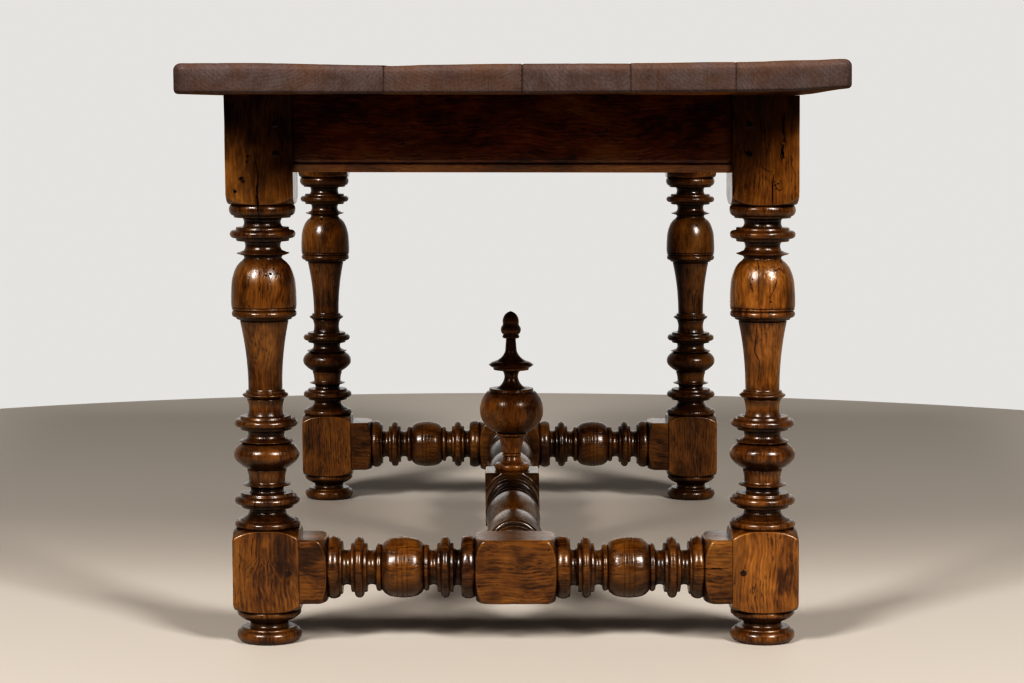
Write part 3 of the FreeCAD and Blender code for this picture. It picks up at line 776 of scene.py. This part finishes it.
legChecks = {
    "near_left": [
        check(0.0022, 0.012, (-0.331, 0.562), (-0.333, 0.600), (-0.331, 0.624), (-0.334, 0.640)),
        check(0.0009, 0.004, (-0.331, 0.452), (-0.331, 0.495)),
        check(0.0013, 0.005, (-0.349, 0.119), (-0.347, 0.147)),
        check(0.0016, 0.005, (-0.343, 0.180), (-0.343, 0.199)),
    ],
    "near_right": [
        check(0.0030, 0.012, (0.3545, 0.704), (0.3525, 0.690), (0.3535, 0.668), (0.349, 0.650), (0.350, 0.638)),
        check(0.0062, 0.007, (0.3538, 0.668), (0.3512, 0.655), (0.3522, 0.650), (0.3485, 0.640)),
        check(0.0030, 0.005, (0.3490, 0.6515), (0.3512, 0.6470), (0.3545, 0.6455)),
        check(0.0018, 0.010, (0.3385, 0.584), (0.3385, 0.605), (0.340, 0.624)),
        check(0.0015, 0.006, (0.3205, 0.436), (0.3175, 0.390), (0.3235, 0.378), (0.3215, 0.346)),
        check(0.0009, 0.004, (0.3215, 0.515), (0.3205, 0.458)),
        check(0.0015, 0.002, (0.3255, 0.5032), (0.3405, 0.4966), (0.3509, 0.5013), (0.3554, 0.4940)),
        check(0.0014, 0.002, (0.3346, 0.4907), (0.3450, 0.4849), (0.3405, 0.4728), (0.3346, 0.4624)),
        check(0.0013, 0.002, (0.3121, 0.4940), (0.3091, 0.4817), (0.3141, 0.4698)),
        check(0.0018, 0.004, (0.3222, 0.6363), (0.3290, 0.6300), (0.3373, 0.6273)),
        check(0.0017, 0.004, (0.2998, 0.6628), (0.3020, 0.6540), (0.3043, 0.6466)),
        check(0.0016, 0.003, (0.3420, 0.6060), (0.3460, 0.6035), (0.3510, 0.6045)),
    ],
    "far_left": [
        check(0.0018, 0.008, (-0.336, 0.588), (-0.334, 0.640)),
        check(0.0012, 0.006, (-0.322, 0.080), (-0.324, 0.135)),
        check(0.0018, 0.008, (0.632, 0.600), (0.630, 0.690), view="left"),
    ],
    "far_right": [
        check(0.0018, 0.008, (0.324, 0.600), (0.326, 0.670), view="back"),
        check(0.0014, 0.006, (0.612, 0.062), (0.614, 0.120), view="right"),
    ],
}
# Larger pits on the front, as (across, up, size), and the small worm holes that are strewn all round
legPits = {
    "near_left": [(-0.3528, 0.618, 0.0022), (-0.3500, 0.614, 0.0015), (-0.3610, 0.601, 0.0019),
                  (-0.3437, 0.647, 0.0013), (-0.3455, 0.640, 0.0011), (-0.3230, 0.4915, 0.0016),
                  (-0.3175, 0.4935, 0.0019), (-0.3140, 0.4990, 0.0013), (-0.3090, 0.4935, 0.0015),
                  (-0.3320, 0.4945, 0.0010)],
    "near_right": [(0.3420, 0.610, 0.0014), (0.3455, 0.612, 0.0012), (0.3440, 0.606, 0.0010),
                   (0.3525, 0.508, 0.0014), (0.3490, 0.500, 0.0011), (0.3130, 0.487, 0.0012),
                   (0.3110, 0.480, 0.0010), (0.3180, 0.499, 0.0010)],
    "far_left": [(-0.3340, 0.508, 0.0024)],
    "far_right": [(0.3380, 0.498, 0.0018)],
}
worm = {"sizes": (0.0005, 0.0011), "reach": 0.042, "up": (0.06, 0.70), "fronts": 22, "sides": 16}


def legRows():
    half = legSide / 2
    blockLow = leg["foot"]
    blockHigh = blockLow + leg["lowerBlock"]
    turnedHigh = blockHigh + leg["turned"]
    edge = shoulder("rise", leg["shoulder"], half)
    return (turnRows(turnedRun(leg["footTurning"], 0, leg["foot"], half))
            + blockRows(blockLow, blockHigh, half, edge, edge)
            + turnRows(turnedRun(leg["turning"], blockHigh, leg["turned"], half))
            + blockRows(turnedHigh, frameHeight, half, edge, None))


def ageAndShadeLeg(bm, axis, ageAndShadow):
    # painted shadow: the top's shadow is painted on a leg's head, darkest high up and on the inner side, with
    # painted light on its lower outer part, and wear polishes the dome
    patinaAndPaintedLight = bm.verts.layers.float["patinaAndPaintedLight"]
    headLow = frameHeight - leg["upperBlock"]
    for vert in bm.verts:
        up = (vert.co.z - headLow) / leg["upperBlock"]
        if up > 0:
            inner = max(1 - abs(vert.co.x) / abs(axis.x), 1 - abs(vert.co.y) / abs(axis.y))
            inner = inner * abs(axis.x) / legSide + 0.5
            paintedShadow = leg["paintedShadow"]["up"] * up + leg["paintedShadow"]["inner"] * inner - ageAndShadow["paintedShadow"]
            paintedShadow += leg["paintedShadow"]["blotch"] * noise.noise(vert.co * leg["paintedShadow"]["blotchNoise"])
            vert[patinaAndPaintedLight] = -min(1, paintedShadow) if paintedShadow > 0 else max(vert[patinaAndPaintedLight], -ageAndShadow["bareAndLit"] * paintedShadow)
        elif leg["dome"][0] < vert.co.z < leg["dome"][1]:
            vert[patinaAndPaintedLight] = max(vert[patinaAndPaintedLight], ageAndShadow["polish"])


def makeLegs():
    corners = {"near_left": (-1, -1), "near_right": (1, -1), "far_left": (-1, 1), "far_right": (1, 1)}
    for number, (corner, (signX, signY)) in enumerate(corners.items()):
        name = "leg_" + corner
        ageAndShadow = legAgesAndShadows[corner]
        axis = Vector((signX * legAxis.x, signY * legAxis.y, 0))
        wearAndShade = {**leg["wearAndShade"], "seed": (3.1 * number, 7.7 * number, 1.3)}
        bm = turnPiece(legRows(), wearAndShade, Matrix.Translation(axis))
        ageAndShadeLeg(bm, axis, ageAndShadow)
        pith = (0.035 + 0.02 * number, 0.055 - 0.012 * number)
        finish = waxedWood(name + "_wood", "z", axis, pith, ageAndShadow["seed"], depth=ageAndShadow["depth"],
                           fans=legFans.get(corner, ()))
        piece = addPiece(name, bm, finish)
        side = "left" if signX < 0 else "right"
        across, deep = ((at - worm["reach"], at + worm["reach"]) for at in (axis.x, axis.y))
        pits = [((x, z), size, "front") for x, z, size in legPits[corner]]
        pits += scatter(corner, worm["fronts"], across, worm["up"], worm["sizes"], ["front", "back"])
        pits += scatter(corner + side, worm["sides"], deep, worm["up"], worm["sizes"], [side])
        carve(piece, legChecks[corner], pits)
        print(name, "turned,", len(piece.data.vertices), "vertices")


makeLegs()

# Stretchers and finial
endStretcher = {"endBlock": 0.036, "centreBlock": 0.108, "shoulder": 0.020, "depth": 0.87,
                "wearAndShade": {"arris": 0.0042, "wave": 0.0004, "wobble": 0.0004, "chip": 0.0018, "cap": 0.35,
                         "grimeAndShade": 0.45, "under": 0.75},
                "turning": [("ring", 0.094, 0.985), ("neck", 0.054, 0.560), ("flange", 0.110, 0.960),
                            ("neck", 0.055, 0.540), ("bead", 0.039, 0.740), ("ball", 0.281, 0.955),
                            ("bead", 0.041, 0.750), ("neck", 0.061, 0.530), ("flange", 0.107, 0.960),
                            ("neck", 0.061, 0.540), ("stepRing", 0.097, 0.980)],
                "worms": 26, "wormAcross": (-0.28, 0.28), "wormUp": (0.062, 0.136)}
stretcherChecks = {
    "near": [check(0.0022, 0.010, (0.229, 0.1045), (0.250, 0.1035), (0.281, 0.1045)),
             check(0.0014, 0.005, (-0.165, 0.128), (-0.140, 0.130), (-0.118, 0.127)),
             check(0.0008, 0.004, (0.126, 0.096), (0.150, 0.095))],
    "far": [check(0.0014, 0.006, (-0.062, 0.090), (-0.090, 0.091)),
            check(0.0016, 0.007, (-0.210, 0.110), (-0.286, 0.112), view="back")],
}
medial = {"midBlock": 0.084, "recess": 0.004, "depth": 0.65,
          "wearAndShade": {"arris": 0.0022, "wave": 0.0004, "wobble": 0.0004, "chip": 0.0014, "cap": 0.2,
                   "grimeAndShade": 2.0, "under": 0.4, "seed": (6.5, 3.9, 2.2)},
          "turning": [("ring", 0.030, 0.960), ("neck", 0.034, 0.580), ("flange", 0.046, 0.970),
                      ("neck", 0.044, 0.560), ("bead", 0.016, 0.760), ("neck", 0.050, 0.620),
                      ("bead", 0.022, 0.910), ("barrel", 0.238, 0.960), ("bead", 0.020, 0.720)]}
# painted light: the finial's wood is made much lighter than the other pieces, to make up for the shade of the
# top over it
finial = {"depth": 1.9,
          "wearAndShade": {"wobble": 0.0003, "chip": 0.0010, "grimeAndShade": 0.45, "under": 0.3, "seed": (5.2, 1.4, 9.6)},
          "turning": [("ring", 0.042, 0.550), ("bell", 0.044, 0.495), ("bead", 0.022, 0.300),
                      ("goblet", 0.108, 0.430), ("bead", 0.024, 0.503), ("plain", 0.008, 0.450),
                      ("globe", 0.250, 1.000), ("plain", 0.018, 0.695), ("stem", 0.118, 0.505),
                      ("plain", 0.016, 0.557), ("disc", 0.036, 0.711), ("spire", 0.146, 0.525),
                      ("bead", 0.020, 0.268), ("plain", 0.006, 0.240), ("acorn", 0.142, 0.318)],
          "pits": [((-0.010, 0.309), 0.0016, "front"), ((0.003, 0.383), 0.0012, "front")]}


def makeEndStretchers():
    low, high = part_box("end_stretcher_near")
    half = (high.z - low.z) / 2
    run = legLow.x - endStretcher["endBlock"] - endStretcher["centreBlock"] / 2
    edge = shoulder("rise", endStretcher["shoulder"], half)
    oneSide = turnedRun(endStretcher["turning"], 0, run, half)
    marks = [0]
    for length in (endStretcher["endBlock"], run, endStretcher["centreBlock"], run, endStretcher["endBlock"]):
        marks.append(marks[-1] + length)
    for number, (end, signY) in enumerate({"near": -1, "far": 1}.items()):
        rows = (blockRows(marks[0], marks[1], half, None, edge)
                + turnRows([(marks[1] + z, r) for z, r in upended(oneSide, run)])
                + blockRows(marks[2], marks[3], half, edge, edge)
                + turnRows([(marks[3] + z, r) for z, r in oneSide])
                + blockRows(marks[4], marks[5], half, edge, None))
        centre = Vector((0, signY * legAxis.y, (low.z + high.z) / 2))
        start = centre + Vector((-legLow.x, 0, 0))
        place = Matrix.Translation(start) @ Matrix.Rotation(math.pi / 2, 4, "Y")
        wearAndShade = {**endStretcher["wearAndShade"], "seed": (2.3 + number, 8.1, 4.4 * number)}
        name = "end_stretcher_" + end
        bm = turnPiece(rows, wearAndShade, place)
        finish = waxedWood(name + "_wood", "x", centre, (0.05, 0.045 - 0.1 * number), 0.9 + 2.1 * number,
                           depth=endStretcher["depth"])
        piece = addPiece(name, bm, finish)
        strewn = scatter(name, endStretcher["worms"], endStretcher["wormAcross"], endStretcher["wormUp"],
                         worm["sizes"], ["front", "back"])
        carve(piece, stretcherChecks[end], strewn)
        print(name, "turned,", len(piece.data.vertices), "vertices")


def makeMedial():
    low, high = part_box("medial_stretcher")
    half = (high.x - low.x) / 2
    stretcherLow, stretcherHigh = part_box("end_stretcher_near")
    whole = legAxis.y - (stretcherHigh.z - stretcherLow.z) / 2
    run = whole - medial["midBlock"] / 2
    edge = shoulder("recess", medial["recess"], half)
    quarter = turnedRun(medial["turning"], 0, run / 2, half)
    oneHalf = quarter + [(run / 2 + z, r) for z, r in upended(quarter, run / 2)]
    rows = (turnRows(oneHalf) + blockRows(run, run + medial["midBlock"], half, edge, edge)
            + turnRows([(run + medial["midBlock"] + z, r) for z, r in oneHalf]))
    centre = Vector((0, 0, high.z - half))
    place = Matrix.Translation(centre - Vector((0, whole, 0))) @ Matrix.Rotation(-math.pi / 2, 4, "X")
    bm = turnPiece(rows, medial["wearAndShade"], place)
    finish = waxedWood("medial_wood", "y", centre, (0.045, -0.05), 5.3, depth=medial["depth"])
    piece = addPiece("medial_stretcher", bm, finish)
    print("medial_stretcher turned,", len(piece.data.vertices), "vertices")


def makeFinial():
    low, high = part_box("finial")
    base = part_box("medial_stretcher")[1].z
    rows = turnRows(turnedRun(finial["turning"], 0, high.z - base, (high.x - low.x) / 2))
    bm = turnPiece(rows, finial["wearAndShade"], Matrix.Translation((0, 0, base)))
    finish = waxedWood("finial_wood", "z", (0, 0, base), (0.02, 0.03), 4.1, depth=finial["depth"])
    piece = addPiece("finial", bm, finish)
    carve(piece, [], finial["pits"])
    print("finial turned,", len(piece.data.vertices), "vertices")


makeEndStretchers()
makeMedial()
makeFinial()

# Aprons and cross rail
apron = {"beadHeight": 0.0125, "beadReturn": 0.004, "quirkWidth": 0.002, "quirkDepth": 0.0025, "lap": 0.0004,
         "pitch": 0.012, "wave": 0.0005, "waveNoise": 9, "soften": 0.0012, "keen": 1.3,
         "endDepth": 1.25, "sideDepth": 1.1, "railDepth": 0.8, "tint": (1, 0.62, 0.40)}


def makeRail(name, section, start, way, out, length, finish):
    # a rail of one section of (outward, height) points, run along its way
    bm = bmesh.new()
    ring = [bm.verts.new(start + out * across + Vector((0, 0, height))) for across, height in section]
    rows = [bm.faces.new(ring)]
    count = math.ceil(length / apron["pitch"])
    for _ in range(count):
        grown = bmesh.ops.extrude_face_region(bm, geom=[rows[-1]])["geom"]
        rows.append(next(item for item in grown if isinstance(item, bmesh.types.BMFace)))
        moved = [item for item in grown if isinstance(item, bmesh.types.BMVert)]
        bmesh.ops.translate(bm, vec=way * (length / count), verts=moved)
    inner = [one for one in rows[1:-1] if one.is_valid]
    bmesh.ops.delete(bm, geom=inner, context="FACES_ONLY")
    bmesh.ops.recalc_face_normals(bm, faces=bm.faces)
    keen = [edge for edge in bm.edges
            if len(edge.link_faces) == 2 and edge.calc_face_angle() > apron["keen"]]
    bmesh.ops.bevel(bm, geom=keen, offset=apron["soften"], offset_type="OFFSET", segments=2, profile=0.5,
                    affect="EDGES", material=-1)
    for vert in bm.verts:
        vert.co += out * apron["wave"] * noise.noise(vert.co * apron["waveNoise"])
    patinaAndPaintedLight = bm.verts.layers.float.new("patinaAndPaintedLight")
    beadTop = min(height for _, height in section) + apron["beadHeight"] - apron["quirkWidth"]
    # painted highlight: the bead along the lower edge gets the lighter worn colour, standing in for the light
    # its round face catches
    for vert in bm.verts:
        vert[patinaAndPaintedLight] = 1.0 if vert.co.z < beadTop else 0.0
    bmesh.ops.recalc_face_normals(bm, faces=bm.faces)
    piece = addPiece(name, bm, finish)
    print(name, "run,", len(piece.data.vertices), "vertices")


def makeAprons():
    low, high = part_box("end_apron_far")
    thick = high.y - low.y
    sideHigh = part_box("side_apron_right")[1]
    quirkLow = low.z + apron["beadHeight"]
    quirk = (-apron["quirkDepth"], quirkLow)
    nose = (-apron["beadReturn"] * 0.1, quirkLow - apron["quirkWidth"])
    belly = (-apron["beadReturn"] * 0.45, low.z + apron["beadHeight"] * 0.4)
    bead = [nose, *arc(nose, belly, (-apron["beadReturn"], low.z))]
    arris = [(0, quirkLow + 2 * apron["quirkWidth"]),
             (-apron["quirkWidth"] * 0.3, quirkLow + apron["quirkWidth"])]
    section = [(0, frameHeight), *arris, quirk, *bead, (-thick, low.z), (-thick, frameHeight)]
    lengths = {"end": 2 * (legLow.x + apron["lap"]), "side": 2 * (legLow.y + apron["lap"])}
    for end, sign in {"near": -1, "far": 1}.items():
        start = Vector((-lengths["end"] / 2, sign * high.y, 0))
        name = "end_apron_" + end
        finish = waxedWood(name + "_wood", "x", start, (0.06, 0.09 * sign), 2.6 * sign,
                           depth=apron["endDepth"], tint=apron["tint"])
        makeRail(name, section, start, Vector((1, 0, 0)), Vector((0, sign, 0)), lengths["end"], finish)
    for side, sign in {"left": -1, "right": 1}.items():
        start = Vector((sign * sideHigh.x, -lengths["side"] / 2, 0))
        name = "side_apron_" + side
        finish = waxedWood(name + "_wood", "y", start, (0.05 * sign, 0.07), 3.4 * sign,
                           depth=apron["sideDepth"], tint=apron["tint"])
        makeRail(name, section, start, Vector((0, 1, 0)), Vector((sign, 0, 0)), lengths["side"], finish)


def makeCrossRail():
    low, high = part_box("cross_rail")
    apronLow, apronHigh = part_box("end_apron_far")
    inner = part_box("side_apron_right")[1].x - (apronHigh.y - apronLow.y)
    length = 2 * (inner + apron["lap"])
    thick = high.y - low.y
    section = [(0, high.z), (0, low.z), (-thick, low.z), (-thick, high.z)]
    start = Vector((-length / 2, high.y, 0))
    finish = waxedWood("cross_rail_wood", "x", start, (0.03, 0.06), 7.1, depth=apron["railDepth"])
    makeRail("cross_rail", section, start, Vector((1, 0, 0)), Vector((0, 1, 0)), length, finish)


makeAprons()
makeCrossRail()

# Top boards
top = {"corner": 0.014, "upper": 0.009, "under": 0.0055, "round": 6, "seam": 0.0022,
       "acrossPitch": 0.007, "alongPitch": 0.030, "upPitch": 0.008, "overhang": 0.200,
       # how the near end's upper and under sides stand off level, as (across, up)
       "crown": [(-0.412, -0.0010), (-0.318, -0.0005), (-0.157, -0.0032), (-0.150, -0.0034),
                 (-0.100, -0.0020), (0, 0), (0.143, 0), (0.270, 0.0017), (0.352, 0.0040), (0.412, 0.0060)],
       "belly": [(-0.412, 0), (0, 0.0006), (0.157, 0.0017), (0.270, 0.0028), (0.331, 0.0037), (0.412, 0.0080)],
       "thinned": [(0.366, 0), (0.412, 0.0080)], "settled": 0.35, "sag": 1.3, "ripple": 0.0006,
       # the joints, and how each board stands to the next
       "seamDrop": 0.0010, "seamReach": 0.003, "line": -0.5, "lineInset": 0.003,
       "seamSteps": (0.0003, -0.0003, -0.0003, 0.0004, 0.0004),
       "endSteps": (0, 0.0008, -0.0006, 0.0005, -0.0004), "endFade": 0.05, "endRough": 0.0006,
       # worn upper edge of the ends, and the bare wood below
       "edgeDrop": 0.012, "edgeInset": 0.014, "edgeWear": 0.6, "mostWear": 0.5, "nick": 0.003, "nickFrom": 0.25,
       "bareAndLit": 0.5, "bareRise": 0.0018, "shadow": -0.6,
       "shades": (0.95, 1.25, 0.85, 1.3, 1.05), "depth": 0.8, "flow": 0.11,
       "gloss": {"coat": 0.20, "coatRough": 0.42, "specular": 0.0},
       "end": {"tone": "endGrain", "share": 1.0, "from": 0.08, "to": 0.46}}


def between(points, x):
    for (x0, y0), (x1, y1) in zip(points, points[1:]):
        if x <= x1:
            share = max(0, (x - x0) / (x1 - x0))
            return y0 + (y1 - y0) * share * share * (3 - 2 * share)
    return points[-1][1]


def endShare(y):
    # 0 over the frame, up to 1 at the near end
    return max(0, min(1, (-y - (-nearEnd - top["overhang"])) / top["overhang"])) ** top["sag"]


def upperLift(x, y):
    share = top["settled"] + (1 - top["settled"]) * endShare(y)
    if y > 0:
        share = top["settled"]
    return between(top["crown"], x) * share + top["ripple"] * noise.noise(Vector((x * 9, y * 4, 2)))


def underLift(x, y):
    return max(between(top["belly"], x) * endShare(y), between(top["thinned"], x))


def isSeam(edge, low, high, outer):
    # edges along a joint with the next board stay square
    return any(x not in outer and all(abs(v.co.x - x) < same for v in edge.verts) for x in (low.x, high.x))


def steps(start, end, pitch):
    count = math.ceil((end - start) / pitch)
    return [start + (end - start) * n / count for n in range(1, count)]


def wearBoard(bm, low, high, seams, number):
    patinaAndPaintedLight = bm.verts.layers.float.new("patinaAndPaintedLight")
    seed = Vector((number * 3.7, number * 1.1, 0))
    for vert in bm.verts:
        x, y, z = vert.co
        share = (z - low.z) / (high.z - low.z)
        inset = min(y - low.y, high.y - y)
        edge = max(0, 1 - (high.z - z) / top["edgeDrop"]) * max(0, 1 - inset / top["edgeInset"])
        nick = max(0, noise.noise(Vector((x * 60, y * 60, number))) - top["nickFrom"])
        atSeam = any(abs(x - seam) < same for seam in seams)
        joint = max(0, 1 - (high.z - z) / top["seamReach"]) if atSeam else 0
        atLine = atSeam and inset < top["lineInset"]
        vert[patinaAndPaintedLight] = top["line"] if atLine else min(top["mostWear"], edge * top["edgeWear"])
        if joint:
            vert[patinaAndPaintedLight] = -joint
        if z < low.z + 2 * top["bareRise"]:
            vert[patinaAndPaintedLight] = top["bareAndLit"] if z < low.z + top["bareRise"] else top["shadow"]
        lift = upperLift(x, y) * share + underLift(x, y) * (1 - share) + top["seamSteps"][number - 1] * share
        vert.co.z += lift - top["nick"] * nick * edge - top["seamDrop"] * joint
        fade = max(0, 1 - inset / top["endFade"])
        push = top["endSteps"][number - 1] * fade + top["endRough"] * noise.noise(seed + vert.co * 30) * fade
        vert.co.y += push if y < 0 else -push


def roundOff(bm, edges, radius):
    bmesh.ops.bevel(bm, geom=edges, offset=radius, offset_type="OFFSET", segments=top["round"], profile=0.5,
                    affect="EDGES", material=-1)


def makeBoards():
    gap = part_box("top_board_2")[0].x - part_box("top_board_1")[1].x
    for number in range(1, 6):
        name = "top_board_%d" % number
        low, high = (Vector(corner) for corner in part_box(name))
        outer = [x for x in (low.x, high.x) if abs(x) > halfWidth - 0.001]
        low.x -= 0 if low.x in outer else gap / 2      # neighbours meet in the middle of the joint
        high.x += 0 if high.x in outer else gap / 2
        centre = (low + high) / 2
        bm = bmesh.new()
        bmesh.ops.create_cube(bm, size=1)
        bmesh.ops.scale(bm, vec=high - low, verts=bm.verts)
        bmesh.ops.translate(bm, vec=centre, verts=bm.verts)
        upright = [edge for edge in bm.edges if abs(edge.verts[0].co.z - edge.verts[1].co.z) > 0.01
                   and any(abs(edge.verts[0].co.x - x) < 1e-4 for x in outer)]
        if upright:
            roundOff(bm, upright, top["corner"])
        for height, radius in ((high.z, top["upper"]), (low.z, top["under"])):
            level = [edge for edge in bm.edges if all(abs(v.co.z - height) < same for v in edge.verts)]
            roundOff(bm, [edge for edge in level if not isSeam(edge, low, high, outer)], radius)
        seams = [x for x in (low.x, high.x) if x not in outer]
        cuts = [((x, 0, 0), (1, 0, 0)) for x in steps(low.x, high.x, top["acrossPitch"])]
        cuts += [((x + math.copysign(top["seam"], centre.x - x), 0, 0), (1, 0, 0)) for x in seams]
        cuts += [((0, y, 0), (0, 1, 0)) for y in steps(low.y, high.y, top["alongPitch"])]
        cuts += [((0, 0, z), (0, 0, 1)) for z in steps(low.z, high.z, top["upPitch"])]
        for spot, way in cuts:
            bmesh.ops.bisect_plane(bm, geom=bm.verts[:] + bm.edges[:] + bm.faces[:], dist=1e-6, plane_co=spot,
                                   plane_no=way)
        wearBoard(bm, low, high, seams, number)
        bmesh.ops.recalc_face_normals(bm, faces=bm.faces)
        pith = (0.04 - 0.03 * number, 0.05 + 0.015 * (number % 3))
        finish = waxedWood(name + "_wood", "y", centre, pith, 1.9 * number, depth=top["depth"],
                           shade=top["shades"][number - 1], flow=top["flow"], end=top["end"],
                           gloss=top["gloss"])
        piece = addPiece(name, bm, finish)
        print(name, "planed,", len(piece.data.vertices), "vertices")


makeBoards()

# Pegs and tongues
peg = {"sides": 12, "crown": 0.0007, "chamfer": 0.0006, "uneven": 0.00018, "depth": 0.45}
pegTurn = {"x": (0, math.pi / 2, 0), "y": (-math.pi / 2, 0, 0), "z": (0, 0, 0)}
pegAxes = {"end_apron_pegs": "y", "side_apron_pegs": "x", "stretcher_pegs": "y", "medial_pegs": "z",
           "top_pegs": "z"}


def looseBoxes(node):
    # the lowest and highest corner of every separate solid in a node
    bm = bmesh.new()
    bm.from_mesh(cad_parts[node].data)
    bmesh.ops.remove_doubles(bm, verts=bm.verts, dist=1e-6)
    left = set(bm.verts)
    boxes = []
    while left:
        island, front = set(), [left.pop()]
        while front:
            vert = front.pop()
            island.add(vert)
            for edge in vert.link_edges:
                other = edge.other_vert(vert)
                if other in left:
                    left.discard(other)
                    front.append(other)
        spots = [vert.co for vert in island]
        boxes.append((Vector([min(s[i] for s in spots) for i in range(3)]),
                      Vector([max(s[i] for s in spots) for i in range(3)])))
    bm.free()
    return sorted(boxes, key=lambda box: tuple(box[0]))


def makePegs(node, axis):
    # riven pegs, rounded with a knife, a little uneven and slightly crowned
    bm = bmesh.new()
    number = "xyz".index(axis)
    turn = Euler(pegTurn[axis]).to_matrix()
    for low, high in looseBoxes(node):
        centre = (low + high) / 2
        radius = min(high[i] - low[i] for i in range(3)) / 2
        verts = bmesh.ops.create_cone(bm, cap_ends=True, segments=peg["sides"], radius1=radius, radius2=radius,
                                      depth=high[number] - low[number])["verts"]
        caps = {face for vert in verts for face in vert.link_faces if abs(face.normal.z) > 0.9}
        rim = {edge for face in caps for edge in face.edges}
        cut = bmesh.ops.bevel(bm, geom=list(rim), offset=peg["chamfer"], offset_type="OFFSET", segments=2,
                              profile=0.5, affect="EDGES", material=-1)
        verts = {vert for vert in verts if vert.is_valid} | {v for face in cut["faces"] for v in face.verts}
        crowns = {f for v in verts for f in v.link_faces if len(f.verts) == peg["sides"]}
        tops = bmesh.ops.poke(bm, faces=list(crowns))["verts"]
        for vert in tops:
            vert.co.z += math.copysign(peg["crown"], vert.co.z)
        verts |= set(tops)
        for vert in verts:
            vert.co.xy *= 1 + peg["uneven"] / radius * noise.noise(vert.co * 400 + centre * 90)
            vert.co = centre + turn @ vert.co
            if node == "top_pegs" and vert.co.z > centre.z:      # their heads follow the uneven top
                vert.co.z += upperLift(vert.co.x, vert.co.y)
    bmesh.ops.recalc_face_normals(bm, faces=bm.faces)
    finish = waxedWood(node + "_wood", axis, (0, 0, 0), (0.003, 0.002), 0.4 * number, depth=peg["depth"])
    addPiece(node, bm, finish)
    print(node, "driven")


for node, axis in pegAxes.items():
    makePegs(node, axis)

tongueWood = waxedWood("tongue_wood", "y", (0, 0, 0), (0.02, 0.03), 8.2)
for number in range(1, 5):
    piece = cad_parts["top_tongue_%d" % number]
    piece.data.materials.clear()
    piece.data.materials.append(tongueWood)
print("pegs and tongues finished")
